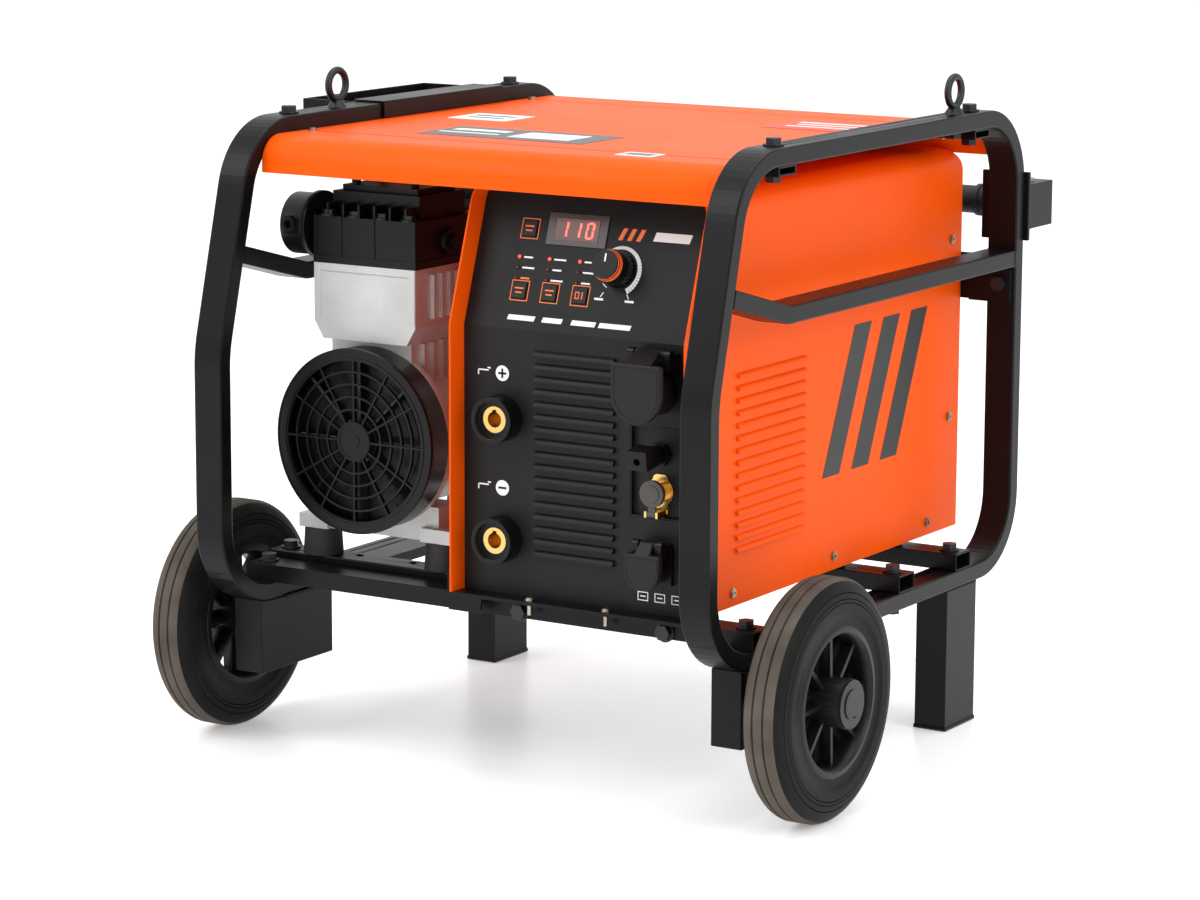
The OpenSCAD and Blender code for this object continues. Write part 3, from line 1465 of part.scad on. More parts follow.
left_hoop();
right_hoop();
side_bars();
front_rail();
pump_rail();
middle_rail();
rear_rail();
cradle_rail();
centre_rail();
axle_boxes();
rear_legs();
shelf_plate();
rear_brace();
canopy();
canopy_rails();
tool_tray();
eye_bolts();
frame_bolts();
cover_screws();
handle_brackets();
handle_pins();
left_handle();
right_handle();
wheel_axles();
left_rim();
left_tyre();
right_rim();
right_tyre();
unit_cover();
unit_base();
front_panel();
rear_panel();
socket_plate();
display();
indicator_lights();
control_knob();
start_button();
mode_button();
air_button();
trigger_button();
output_collars();
output_contacts();
pump_socket();
pump_socket_lid();
aux_socket();
aux_socket_lid();
air_fitting();
torch_connector();
connector_cap();
power_switch();
cable_gland();
cooling_fan();
power_module();
rubber_mounts();
pump_body();
pump_heads();
intake_filters();
fan_covers();
pump_rotor();
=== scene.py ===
import json
import math
import random
import bpy
import bmesh
from mathutils import Matrix, Vector


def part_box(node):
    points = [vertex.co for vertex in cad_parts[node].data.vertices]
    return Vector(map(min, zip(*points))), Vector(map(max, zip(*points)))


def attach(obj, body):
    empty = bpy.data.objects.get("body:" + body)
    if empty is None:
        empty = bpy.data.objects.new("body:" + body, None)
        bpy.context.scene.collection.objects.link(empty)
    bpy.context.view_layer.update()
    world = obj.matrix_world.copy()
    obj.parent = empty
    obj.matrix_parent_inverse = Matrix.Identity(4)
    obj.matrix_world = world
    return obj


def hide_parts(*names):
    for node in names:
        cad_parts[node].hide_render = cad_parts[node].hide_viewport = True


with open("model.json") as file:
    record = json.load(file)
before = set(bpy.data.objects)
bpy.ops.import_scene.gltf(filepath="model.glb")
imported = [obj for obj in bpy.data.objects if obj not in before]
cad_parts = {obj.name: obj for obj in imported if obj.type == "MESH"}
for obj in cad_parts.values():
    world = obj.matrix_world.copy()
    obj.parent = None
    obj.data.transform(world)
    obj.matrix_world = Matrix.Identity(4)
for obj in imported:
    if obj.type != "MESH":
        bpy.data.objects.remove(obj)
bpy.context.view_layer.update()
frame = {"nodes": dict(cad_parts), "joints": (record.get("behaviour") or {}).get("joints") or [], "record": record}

DRAW = random.Random(7)

# Places taken from the frame
HOOP_LO, HOOP_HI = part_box("left_hoop")
RIGHT_LO, RIGHT_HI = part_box("right_hoop")
FRONT_Y = HOOP_LO[1]
BASE_LO, BASE_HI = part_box("unit_base")
COVER_SHEET = 0.0017    # the cover stands this far outside the base tray
UNIT_LEFT = BASE_LO[0] - COVER_SHEET
UNIT_RIGHT = BASE_HI[0] + COVER_SHEET
UNIT_Z = BASE_LO[2]
PANEL_Y = FRONT_Y + 0.074    # face of the upright panel
BEND_Z = UNIT_Z + 0.223      # where the panel starts to slope
SLOPE = math.radians(18.3)
COLLAR_LO, COLLAR_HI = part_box("output_collars")
SOCKET_X = (COLLAR_LO[0] + COLLAR_HI[0]) / 2
MINUS_Z = UNIT_Z + 0.0465    # centre of the lower output socket
PLUS_Z = UNIT_Z + 0.148      # centre of the upper output socket
KNOB = next(j for j in frame["joints"] if j["name"] == "knob_turn")


# ---------- finishes ----------

def finish_of(name, colour, rough, metal=0.0, grain=900.0, bump=0.05, mottle=0.06,
              mottle_scale=9.0, dust=0.0, coat=0.0, stretch=(1, 1, 1), depth=0.0004, spec=0.5):
    """One painted, cast, moulded or rubber surface with grain, patches and a little dust."""
    m = bpy.data.materials.new(name)
    m.use_nodes = True
    nt = m.node_tree
    nt.nodes.clear()
    out = nt.nodes.new("ShaderNodeOutputMaterial")
    skin = nt.nodes.new("ShaderNodeBsdfPrincipled")
    nt.links.new(skin.outputs["BSDF"], out.inputs["Surface"])
    place = nt.nodes.new("ShaderNodeTexCoord")
    turn = nt.nodes.new("ShaderNodeMapping")
    turn.inputs["Scale"].default_value = stretch
    nt.links.new(place.outputs["Object"], turn.inputs["Vector"])
    patches = nt.nodes.new("ShaderNodeTexNoise")
    patches.inputs["Scale"].default_value = mottle_scale
    patches.inputs["Detail"].default_value = 6.0
    nt.links.new(place.outputs["Object"], patches.inputs["Vector"])
    tone = nt.nodes.new("ShaderNodeValToRGB")
    dark = [max(0.0, c * (1.0 - mottle)) for c in colour]
    pale = [min(1.0, c * (1.0 + mottle) + dust) for c in colour]
    tone.color_ramp.elements[0].position = 0.32
    tone.color_ramp.elements[0].color = (*dark, 1)
    tone.color_ramp.elements[1].position = 0.72
    tone.color_ramp.elements[1].color = (*pale, 1)
    nt.links.new(patches.outputs["Fac"], tone.inputs["Fac"])
    nt.links.new(tone.outputs["Color"], skin.inputs["Base Color"])
    sheen = nt.nodes.new("ShaderNodeMapRange")
    sheen.inputs["To Min"].default_value = max(0.05, rough - 0.06)
    sheen.inputs["To Max"].default_value = min(1.0, rough + 0.08)
    nt.links.new(patches.outputs["Fac"], sheen.inputs["Value"])
    nt.links.new(sheen.outputs["Result"], skin.inputs["Roughness"])
    skin.inputs["Metallic"].default_value = metal
    skin.inputs["Coat Weight"].default_value = coat
    skin.inputs["Coat Roughness"].default_value = 0.25
    skin.inputs["Specular IOR Level"].default_value = spec
    if bump:
        grit = nt.nodes.new("ShaderNodeTexNoise")
        grit.inputs["Scale"].default_value = grain
        grit.inputs["Detail"].default_value = 3.0
        nt.links.new(turn.outputs["Vector"], grit.inputs["Vector"])
        rise = nt.nodes.new("ShaderNodeBump")
        rise.inputs["Strength"].default_value = bump
        rise.inputs["Distance"].default_value = depth
        nt.links.new(grit.outputs["Fac"], rise.inputs["Height"])
        nt.links.new(rise.outputs["Normal"], skin.inputs["Normal"])
    return m


def lit(name, colour, strength):
    """A lamp, display segment or floor that gives some light of its own."""
    m = finish_of(name, colour, 0.3, bump=0.0, mottle=0.02)
    skin = next(n for n in m.node_tree.nodes if n.type == "BSDF_PRINCIPLED")
    skin.inputs["Emission Color"].default_value = (*colour, 1)
    skin.inputs["Emission Strength"].default_value = strength
    return m


FRAME_BLACK = finish_of("frame black powder coat", (0.0035, 0.0035, 0.004), 0.33, grain=1400,
                        bump=0.20, mottle=0.25, dust=0.0005, depth=0.0003, spec=0.17)
ORANGE = finish_of("orange powder coat", (0.86, 0.088, 0.001), 0.40, grain=1600, bump=0.16,
                   mottle=0.04, depth=0.0003, spec=0.10)
PANEL_BLACK = finish_of("front panel black", (0.007, 0.007, 0.0075), 0.46, grain=1500, bump=0.30,
                        mottle=0.2, dust=0.001, depth=0.0003, spec=0.22)
ZINC = finish_of("zinc plated sheet", (0.55, 0.57, 0.58), 0.35, metal=1.0, grain=120, bump=0.05)
BLACK_STEEL = finish_of("blackened fastener steel", (0.035, 0.035, 0.038), 0.38, metal=0.8,
                        grain=900, bump=0.12, mottle=0.3)
SCREW_STEEL = finish_of("yellow zinc screws", (0.42, 0.37, 0.30), 0.32, metal=1.0, grain=700,
                        bump=0.08, mottle=0.2)
CAST = finish_of("bead blasted cast aluminium", (0.54, 0.54, 0.535), 0.50, metal=0.72, grain=520,
                 bump=0.55, mottle=0.10, mottle_scale=22, depth=0.0006)
BLACK_MOULD = finish_of("black moulded plastic", (0.003, 0.003, 0.0035), 0.33, grain=1100,
                        bump=0.12, mottle=0.25, dust=0.0005, spec=0.22)
GREY_MOULD = finish_of("dark grey moulded plastic", (0.009, 0.009, 0.0095), 0.42, grain=1200,
                       bump=0.2, mottle=0.15, spec=0.24)
WHEEL_MOULD = finish_of("wheel plastic", (0.0045, 0.0045, 0.005), 0.34, grain=800, bump=0.12,
                        mottle=0.25, dust=0.0005, spec=0.24)
BEZEL = finish_of("display bezel", (0.045, 0.038, 0.034), 0.28, grain=600, bump=0.03)
RED_LENS = finish_of("dark red lens", (0.09, 0.012, 0.010), 0.15, grain=300, bump=0.0, coat=0.5)
DARK_LAMP = finish_of("unlit lamp", (0.10, 0.015, 0.012), 0.25, grain=300, bump=0.0)
LAMP = lit("lit lamp", (1.0, 0.05, 0.03), 2.5)
DIGIT = lit("display digit", (1.0, 0.07, 0.04), 4.0)
BRASS = finish_of("turned brass", (0.72, 0.47, 0.16), 0.24, metal=1.0, grain=500, bump=0.06,
                  mottle=0.12, stretch=(1, 8, 1))
TYRE = finish_of("tyre rubber", (0.005, 0.0047, 0.0044), 0.46, grain=420, bump=0.16, mottle=0.25,
                 dust=0.002, mottle_scale=16, spec=0.10)
TREAD = finish_of("worn tread rubber", (0.075, 0.060, 0.048), 0.75, grain=380, bump=0.5,
                  mottle=0.25, dust=0.008, mottle_scale=30, spec=0.25)
RUBBER = finish_of("mount rubber", (0.015, 0.015, 0.015), 0.62, grain=500, bump=0.2, mottle=0.2)
CAP_RUBBER = finish_of("cap rubber", (0.055, 0.053, 0.050), 0.6, grain=600, bump=0.2)
GRIP = finish_of("grip rubber", (0.014, 0.014, 0.015), 0.66, grain=700, bump=0.35, mottle=0.2)
SINK = finish_of("extruded heat sink", (0.55, 0.56, 0.57), 0.38, metal=1.0, grain=300, bump=0.05,
                 stretch=(1, 0.05, 1))
WHITE_INK = finish_of("white ink", (0.78, 0.78, 0.77), 0.5, grain=900, bump=0.03, mottle=0.03)
ORANGE_INK = finish_of("orange ink", (0.90, 0.17, 0.02), 0.5, grain=900, bump=0.03, mottle=0.03)
BLACK_INK = finish_of("black vinyl", (0.010, 0.010, 0.011), 0.45, grain=900, bump=0.05, mottle=0.2)
KNOB_RING = finish_of("orange knob ring", (0.88, 0.13, 0.015), 0.35, grain=900, bump=0.05)
BADGE_GREY = finish_of("grey badge", (0.10, 0.10, 0.105), 0.45, grain=900, bump=0.04)
BADGE_WHITE = finish_of("white badge", (0.75, 0.74, 0.71), 0.42, grain=900, bump=0.04)
BADGE_RED = finish_of("red badge", (0.62, 0.045, 0.02), 0.42, grain=900, bump=0.04)
FLOOR = lit("pale floor", (0.90, 0.90, 0.90), 0.28)

COATS = {"black_paint": FRAME_BLACK, "orange_paint": ORANGE, "panel_paint": PANEL_BLACK,
         "galvanised": ZINC, "dark_steel": BLACK_STEEL, "bright_steel": SCREW_STEEL,
         "cast_metal": CAST, "black_plastic": BLACK_MOULD, "grey_plastic": GREY_MOULD,
         "wheel_plastic": WHEEL_MOULD, "display_plastic": BEZEL, "lamp_red": DARK_LAMP,
         "brass": BRASS, "tyre_rubber": TYRE, "rubber": RUBBER, "grip_rubber": GRIP,
         "heat_sink": SINK}

# Edge softening on the machine's own parts, in metres
SOFT_EDGE = {"left_hoop": 0.0022, "right_hoop": 0.0022, "side_bars": 0.0020, "front_rail": 0.0015,
             "canopy": 0.0006, "unit_cover": 0.0006, "front_panel": 0.0006,
             "rear_panel": 0.0006, "pump_rail": 0.0015, "middle_rail": 0.0015, "rear_rail": 0.0015,
             "rear_legs": 0.0015, "axle_boxes": 0.0020, "tool_tray": 0.0006,
             "shelf_plate": 0.0005, "rear_brace": 0.0006, "pump_body": 0.0012,
             "pump_heads": 0.0010, "control_knob": 0.0004, "output_collars": 0.0008,
             "left_rim": 0.0008, "right_rim": 0.0008, "handle_brackets": 0.0008,
             "fan_covers": 0.0004, "air_fitting": 0.0010, "connector_cap": 0.0006,
             "intake_filters": 0.0010, "frame_bolts": 0.0004, "display": 0.0004,
             "socket_plate": 0.0004}


WELD_GAP = 2e-6              # corners closer than this are one corner
SHARP = math.radians(42)     # edges sharper than this are rounded
SMOOTH_UNDER = math.radians(35)


def soften(obj, width, segments=2):
    """Rounds the sharp edges of a piece."""
    weld = obj.modifiers.new("join", "WELD")
    weld.merge_threshold = WELD_GAP
    bev = obj.modifiers.new("edge", "BEVEL")
    bev.limit_method = "ANGLE"
    bev.angle_limit = SHARP
    bev.width = width
    bev.segments = segments
    bev.harden_normals = False
    bev.use_clamp_overlap = True


def dress_parts():
    """Gives every part of the machine its finish and soft edges."""
    slots = {s["node"]: s["material_slot"] for s in frame["record"]["subparts"]}
    for name, obj in frame["nodes"].items():
        coat = COATS[slots[name]]
        if name == "connector_cap":
            coat = CAP_RUBBER
        if not obj.material_slots:
            obj.data.materials.append(coat)
        for s in obj.material_slots:
            s.material = coat
        if name in SOFT_EDGE:
            soften(obj, SOFT_EDGE[name])


dress_parts()


# ---------- making pieces ----------

def piece(name, bm, finish, body="frame", smooth=True, edge=0.0):
    """Turns a finished bmesh into a piece that rides on a body."""
    bmesh.ops.recalc_face_normals(bm, faces=bm.faces)
    mesh = bpy.data.meshes.new(name)
    bm.to_mesh(mesh)
    bm.free()
    if smooth:
        mesh.shade_smooth()
        mesh.set_sharp_from_angle(angle=SMOOTH_UNDER)
    obj = bpy.data.objects.new(name, mesh)
    bpy.context.scene.collection.objects.link(obj)
    for f in (finish if isinstance(finish, list) else [finish]):
        mesh.materials.append(f)
    if edge:
        soften(obj, edge)
    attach(obj, body)
    return obj


def on_panel(x, z, out=0.0):
    """Matrix for artwork on the upright panel: local x right, local y up, local z outwards."""
    return Matrix.Translation((x, PANEL_Y - out, z)) @ Matrix.Rotation(math.pi / 2, 4, "X")


def on_slope(x, s, out=0.0):
    """Matrix for artwork on the sloping panel, s metres up the slope from the bend."""
    base = Matrix.Translation((0, PANEL_Y, BEND_Z)) @ Matrix.Rotation(-SLOPE, 4, "X")
    return base @ Matrix.Translation((x, -out, s)) @ Matrix.Rotation(math.pi / 2, 4, "X")


INK = 0.00025    # thickness of print


def bar(bm, w, h, place, t=INK):
    """A thin printed bar, w wide and h high, centred on its place."""
    size = Matrix.Diagonal((w, h, t, 1))
    bmesh.ops.create_cube(bm, size=1.0, matrix=place @ size)


def slant_bar(bm, w, h, lean, place, t=INK):
    """A printed bar whose top leans sideways."""
    got = bmesh.ops.create_cube(bm, size=1.0)
    for v in got["verts"]:
        v.co = place @ Vector((v.co.x * w + v.co.y * lean, v.co.y * h, v.co.z * t))


def disc(bm, r, place, t=INK, n=40):
    """A thin round plate facing the local z axis."""
    bmesh.ops.create_cone(bm, cap_ends=True, segments=n, radius1=r, radius2=r, depth=t,
                          matrix=place)


def ring(bm, r_out, r_in, place, t=INK, n=48, start=0.0, sweep=2 * math.pi):
    """A flat printed ring, or part of one, made by spinning a small section."""
    corners = [(r_in, -t / 2), (r_out, -t / 2), (r_out, t / 2), (r_in, t / 2)]
    turn = Matrix.Rotation(start, 4, "Z")
    verts = [bm.verts.new(turn @ Vector((r, 0, z))) for r, z in corners]
    face = bm.faces.new(verts)
    full = abs(sweep - 2 * math.pi) < 1e-6
    before = set(bm.verts) - set(verts)
    bmesh.ops.spin(bm, geom=[face] + list(face.edges) + verts, cent=(0, 0, 0), axis=(0, 0, 1),
                   angle=sweep, steps=n, use_merge=full, use_duplicate=False)
    new = [v for v in bm.verts if v not in before]
    if full and face.is_valid:
        bmesh.ops.delete(bm, geom=[face], context="FACES_ONLY")
    bmesh.ops.transform(bm, matrix=place, verts=new)


def outline_box(bm, w, h, line, place):
    """A printed rectangular outline."""
    for s in (-1, 1):
        bar(bm, w, line, place @ Matrix.Translation((0, s * (h - line) / 2, 0)))
        bar(bm, line, h - 2 * line, place @ Matrix.Translation((s * (w - line) / 2, 0, 0)))


# ---------- printed marks on the front panel ----------

ROWS = (0.060, 0.0512, 0.0424)    # heights of the lamp rows up the slope
BUTTON_X = UNIT_LEFT + 0.050
PITCH = 0.0293               # between columns of buttons and lamps
LIGHT_X = UNIT_LEFT + 0.0445
LOW_ROW = 0.032              # height of the lower buttons up the slope
TOP_ROW = 0.084              # height of the start button
BUTTON_BOX = 0.0172          # printed outline round a button
BUTTON_LINE = 0.0007
BADGE_ROW = 0.0855           # height of the display and the marks beside it
KNOB_X = KNOB["pos_m"][0]
KNOB_S = (KNOB["pos_m"][2] - BEND_Z) / math.cos(SLOPE)


def panel_marks():
    """White and orange print: socket signs, lamp dashes, button outlines and the dial scale."""
    white = bmesh.new()
    orange = bmesh.new()
    for z, plus in ((PLUS_Z + 0.037, True), (MINUS_Z + 0.0425, False)):
        here = on_panel(SOCKET_X, z)
        ring(white, 0.0065, 0.0056, here)
        disc(white, 0.0056, here, t=0.0002)
        mark = on_panel(SOCKET_X, z, 0.0002)
        cut = bmesh.new()
        bar(cut, 0.0078, 0.0017, mark)
        if plus:
            bar(cut, 0.0017, 0.0078, mark)
        piece("plus_sign" if plus else "minus_sign", cut, PANEL_BLACK,
              smooth=False)
        left = SOCKET_X - 0.0185
        bar(white, 0.010, 0.0012, on_panel(left, z + 0.0015))
        bar(white, 0.0012, 0.0040, on_panel(left - 0.0050, z - 0.0008))
        bar(white, 0.0030, 0.0012, on_panel(left + 0.0055, z + 0.0035))
    for col in range(3):
        x = LIGHT_X + col * PITCH
        for row, s in enumerate(ROWS):
            length = 0.0085 + 0.003 * ((col + row) % 2)
            bar(white if row < 2 or col else orange, length, 0.0014,
                on_slope(x + 0.0042 + length / 2, s))
        here = on_slope(BUTTON_X + col * PITCH, LOW_ROW)
        outline_box(orange, BUTTON_BOX, BUTTON_BOX, BUTTON_LINE, here)
    outline_box(orange, BUTTON_BOX, BUTTON_BOX, BUTTON_LINE, on_slope(BUTTON_X, TOP_ROW))
    for i, w in enumerate((0.026, 0.019, 0.023, 0.030)):
        slant_bar(white, w, 0.0042, 0.0012, on_slope(UNIT_LEFT + 0.056 + 0.030 * i, 0.0095))
    for i in range(3):
        slant_bar(orange, 0.0040, 0.010, 0.004,
                  on_slope(UNIT_LEFT + 0.139 + 0.0085 * i, BADGE_ROW))
    slant_bar(white, 0.034, 0.0075, 0.002, on_slope(UNIT_LEFT + 0.186, BADGE_ROW))
    centre = on_slope(KNOB_X, KNOB_S)
    steps = 40
    first, sweep = 240, 300      # degrees, from the low end of the dial round to the high end
    for i in range(steps):
        a = math.radians(first - sweep * (i + 0.5) / steps)
        width = 0.0006 + 0.0042 * i / steps
        spot = centre @ Matrix.Rotation(a, 4, "Z") @ Matrix.Translation((0.0172 + width / 2, 0, 0))
        bar(white, width, 0.0023, spot)
    for a in (first, first - sweep):
        spot = centre @ Matrix.Rotation(math.radians(a), 4, "Z")
        bar(white, 0.0045, 0.0008, spot @ Matrix.Translation((0.0245, 0, 0)))
        flat = centre @ Matrix.Translation((0.029 * math.cos(math.radians(a)),
                                            0.029 * math.sin(math.radians(a)), 0))
        bar(white, 0.0085, 0.0018, flat)
    for i in range(3):
        x = UNIT_LEFT + 0.176 + 0.016 * i
        outline_box(white, 0.010, 0.0075, 0.0008, on_panel(x, UNIT_Z + 0.014))
        bar(white, 0.005, 0.0010, on_panel(x, UNIT_Z + 0.014))
    piece("white_print", white, WHITE_INK, smooth=False)
    piece("orange_print", orange, ORANGE_INK, smooth=False)


panel_marks()


def button_marks():
    """Small plain signs on the push buttons."""
    spots = (("start_sign", "button_start", BUTTON_X, TOP_ROW),
             ("mode_sign", "button_mode", BUTTON_X, LOW_ROW),
             ("air_sign", "button_air", BUTTON_X + PITCH, LOW_ROW),
             ("trigger_sign", "button_trigger", BUTTON_X + 2 * PITCH, LOW_ROW))
    out = 0.00145    # face of a button in front of the panel
    for i, (name, body, x, s) in enumerate(spots):
        bm = bmesh.new()
        if i < 3:
            bar(bm, 0.0085, 0.0011, on_slope(x, s + 0.0018, out))
            bar(bm, 0.0062, 0.0011, on_slope(x, s - 0.0018, out))
        else:
            outline_box(bm, 0.0040, 0.0060, 0.0008, on_slope(x - 0.0022, s, out))
            bar(bm, 0.0010, 0.0060, on_slope(x + 0.0025, s, out))
        piece(name, bm, ORANGE_INK, body=body, smooth=False)


button_marks()

# ---------- display ----------

DISPLAY_X = UNIT_LEFT + 0.096
SEGMENTS = {"0": "abcdef", "1": "bc"}


def display_face():
    """Dark red window with three digits."""
    lens = bmesh.new()
    bar(lens, 0.042, 0.019, on_slope(DISPLAY_X, BADGE_ROW, 0.0013), t=0.0006)
    piece("display_window", lens, RED_LENS, edge=0.0003)
    digits = bmesh.new()
    w, h, t = 0.0058, 0.0062, 0.0015    # width, half height and stroke of a digit
    pitch, lean = 0.0125, 0.08
    where = {"a": (0, h, 1), "b": (w / 2, h / 2, 0), "c": (w / 2, -h / 2, 0), "d": (0, -h, 1),
             "e": (-w / 2, -h / 2, 0), "f": (-w / 2, h / 2, 0), "g": (0, 0, 1)}
    for i, sign in enumerate("110"):
        cx = DISPLAY_X + (i - 1) * pitch
        for seg in SEGMENTS[sign]:
            x, y, flat = where[seg]
            size = (w - t * 0.7, t) if flat else (t, h - t * 0.5)
            bar(digits, size[0], size[1], on_slope(cx + x + y * lean, BADGE_ROW + y, 0.0018))
    piece("display_digits", digits, DIGIT, smooth=False)


display_face()


def lamps():
    """Domes over the indicator lights; the first one of each column is lit."""
    for row, s in enumerate(ROWS):
        bm = bmesh.new()
        for col in range(3):
            bmesh.ops.create_uvsphere(bm, u_segments=16, v_segments=10, radius=0.0015,
                                      matrix=on_slope(LIGHT_X + col * PITCH, s, 0.0004))
        piece(f"lamp_row_{row + 1}", bm, LAMP if row == 0 else DARK_LAMP)


lamps()


def knob_trim():
    """Orange ring and a pointer mark on the knob."""
    here = on_slope(KNOB_X, KNOB_S, 0.0225)
    bm = bmesh.new()
    profile = [(0.0088, 0.0), (0.0122, 0.0), (0.0133, -0.0016), (0.0133, -0.0050),
               (0.0126, -0.0055), (0.0088, -0.0055)]
    verts = [bm.verts.new((r, 0, z)) for r, z in profile]
    edges = [bm.edges.new((verts[i], verts[(i + 1) % len(verts)])) for i in range(len(verts))]
    bmesh.ops.spin(bm, geom=verts + edges, cent=(0, 0, 0), axis=(0, 0, 1), angle=2 * math.pi,
                   steps=64, use_merge=True, use_duplicate=False)
    bmesh.ops.remove_doubles(bm, verts=bm.verts, dist=1e-6)
    bmesh.ops.transform(bm, matrix=here, verts=bm.verts)
    piece("knob_ring", bm, KNOB_RING, body="knob")
    bm = bmesh.new()
    bar(bm, 0.0013, 0.0065, here @ Matrix.Translation((0, 0.0055, 0.0016)))
    piece("knob_pointer", bm, WHITE_INK, body="knob", smooth=False)


knob_trim()

# ---------- badges and side mark ----------

CANOPY_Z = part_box("canopy")[1][2]


def top_badge(name, x, y, w, d, turn, finish, marks):
    """A thin blank badge lying on the canopy, with plain bars on it."""
    place = Matrix.Translation((x, y, CANOPY_Z + 0.0002)) @ Matrix.Rotation(turn, 4, "Z")
    bm = bmesh.new()
    bar(bm, w, d, place, t=0.0004)
    piece(name, bm, finish, smooth=False)
    ink = bmesh.new()
    for mx, my, mw, md in marks:
        bar(ink, mw, md, place @ Matrix.Translation((mx, my, 0.0003)), t=0.0003)
    piece(name + "_bars", ink, BADGE_WHITE if finish is not BADGE_WHITE else BADGE_GREY,
          smooth=False)


top_badge("long_badge", -0.045, FRONT_Y + 0.185, 0.165, 0.070, 0.0, BADGE_GREY,
          [(-0.045, 0.012, 0.055, 0.012), (-0.045, -0.010, 0.060, 0.005),
           (0.030, 0.0, 0.060, 0.040)])
top_badge("corner_badge", -0.150, FRONT_Y + 0.300, 0.060, 0.050, 0.0, BADGE_WHITE,
          [(0.0, 0.008, 0.042, 0.006), (0.0, -0.008, 0.036, 0.005)])
top_badge("rear_badge", 0.135, FRONT_Y + 0.395, 0.090, 0.070, 0.0, BADGE_RED,
          [(0.0, 0.018, 0.070, 0.006), (0.0, 0.002, 0.058, 0.005), (0.0, -0.014, 0.064, 0.005)])
top_badge("code_badge", 0.120, FRONT_Y + 0.110, 0.034, 0.024, 0.0, BADGE_WHITE,
          [(0.0, 0.005, 0.026, 0.002), (0.0, 0.0, 0.026, 0.002), (0.0, -0.005, 0.026, 0.002)])


def side_mark():
    """Three plain slanting bars on the right side of the cover."""
    bm = bmesh.new()
    face = Matrix(((0, 0, 1, 0), (1, 0, 0, 0), (0, 1, 0, 0), (0, 0, 0, 1)))
    for i in range(3):
        place = Matrix.Translation((UNIT_RIGHT + 0.0001, FRONT_Y + 0.325 + 0.052 * i,
                                    UNIT_Z + 0.145)) @ face
        slant_bar(bm, 0.030, 0.125, 0.055, place, t=0.0004)
    piece("side_bars_mark", bm, BLACK_INK, smooth=False)


side_mark()


# ---------- tyres ----------

def tyre(side):
    """Solid rubber tyre: ribbed tread, round shoulders and fine rings on the side wall."""
    lo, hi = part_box(f"{side}_tyre")
    cy, cz = (lo[1] + hi[1]) / 2, (lo[2] + hi[2]) / 2
    r = (hi[2] - lo[2]) / 2
    half = (hi[0] - lo[0]) / 2
    inner = r * 0.62
    wall = [(inner, 0.0012), (inner + 0.008, 0.0012), (inner + 0.0095, 0.0004),
            (inner + 0.011, 0.0), (r - 0.0200, 0.0), (r - 0.0195, 0.0007), (r - 0.0190, 0.0),
            (r - 0.0170, 0.0002), (r - 0.0165, 0.0010), (r - 0.0160, 0.0004),
            (r - 0.0120, 0.0012), (r - 0.0115, 0.0021), (r - 0.0110, 0.0015),
            (r - 0.0080, 0.0027), (r - 0.0050, 0.0043), (r - 0.0026, 0.0064),
            (r - 0.0010, 0.0085), (r - 0.0003, 0.0102)]
    ribs = [(r, 0.0112), (r, 0.0138), (r - 0.0022, 0.0143), (r - 0.0022, 0.0153),
            (r, 0.0158)]
    one = wall + ribs
    profile = [(rr, -half + d) for rr, d in one] + [(rr, half - d) for rr, d in reversed(one)]
    bm = bmesh.new()
    verts = [bm.verts.new((x, rr, 0)) for rr, x in profile]
    edges = [bm.edges.new((verts[i], verts[(i + 1) % len(verts)])) for i in range(len(verts))]
    bmesh.ops.spin(bm, geom=verts + edges, cent=(0, 0, 0), axis=(1, 0, 0), angle=2 * math.pi,
                   steps=128, use_merge=True, use_duplicate=False)
    bmesh.ops.remove_doubles(bm, verts=bm.verts, dist=1e-6)
    for f in bm.faces:
        c = f.calc_center_median()
        if math.hypot(c.y, c.z) > r - 0.0030:
            f.material_index = 1
    bmesh.ops.transform(bm, matrix=Matrix.Translation(((lo[0] + hi[0]) / 2, cy, cz)),
                        verts=bm.verts)
    obj = piece(f"{side}_tyre_rubber", bm, [TYRE, TREAD], body=f"{side}_wheel")
    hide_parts(f"{side}_tyre")


tyre("left")
tyre("right")


def circlip(side):
    """Open ring in a groove on the end of an axle."""
    lo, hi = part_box("wheel_axles")
    out = 1 if side == "right" else -1
    x = hi[0] if out > 0 else lo[0]
    cy, cz = (lo[1] + hi[1]) / 2, (lo[2] + hi[2]) / 2
    bm = bmesh.new()
    turn = Matrix.Translation((x - out * 0.0006, cy, cz)) @ Matrix.Rotation(math.pi / 2, 4, "Y")
    ring(bm, 0.0125, 0.0098, turn, t=0.0011, n=40, start=0.3, sweep=math.radians(310))
    piece(f"{side}_circlip", bm, BLACK_STEEL)


circlip("left")
circlip("right")


# ---------- weld beads ----------

def bead(name, points, r=0.0022):
    """A line of overlapping weld ripples along straight runs between points."""
    bm = bmesh.new()
    for a, b in points:
        a, b = Vector(a), Vector(b)
        n = max(3, int((b - a).length / (r * 0.9)))
        for i in range(n + 1):
            p = a.lerp(b, i / n)
            bmesh.ops.create_icosphere(bm, subdivisions=1, radius=r * DRAW.uniform(0.88, 1.08),
                                       matrix=Matrix.Translation(p))
    piece(name, bm, FRAME_BLACK)


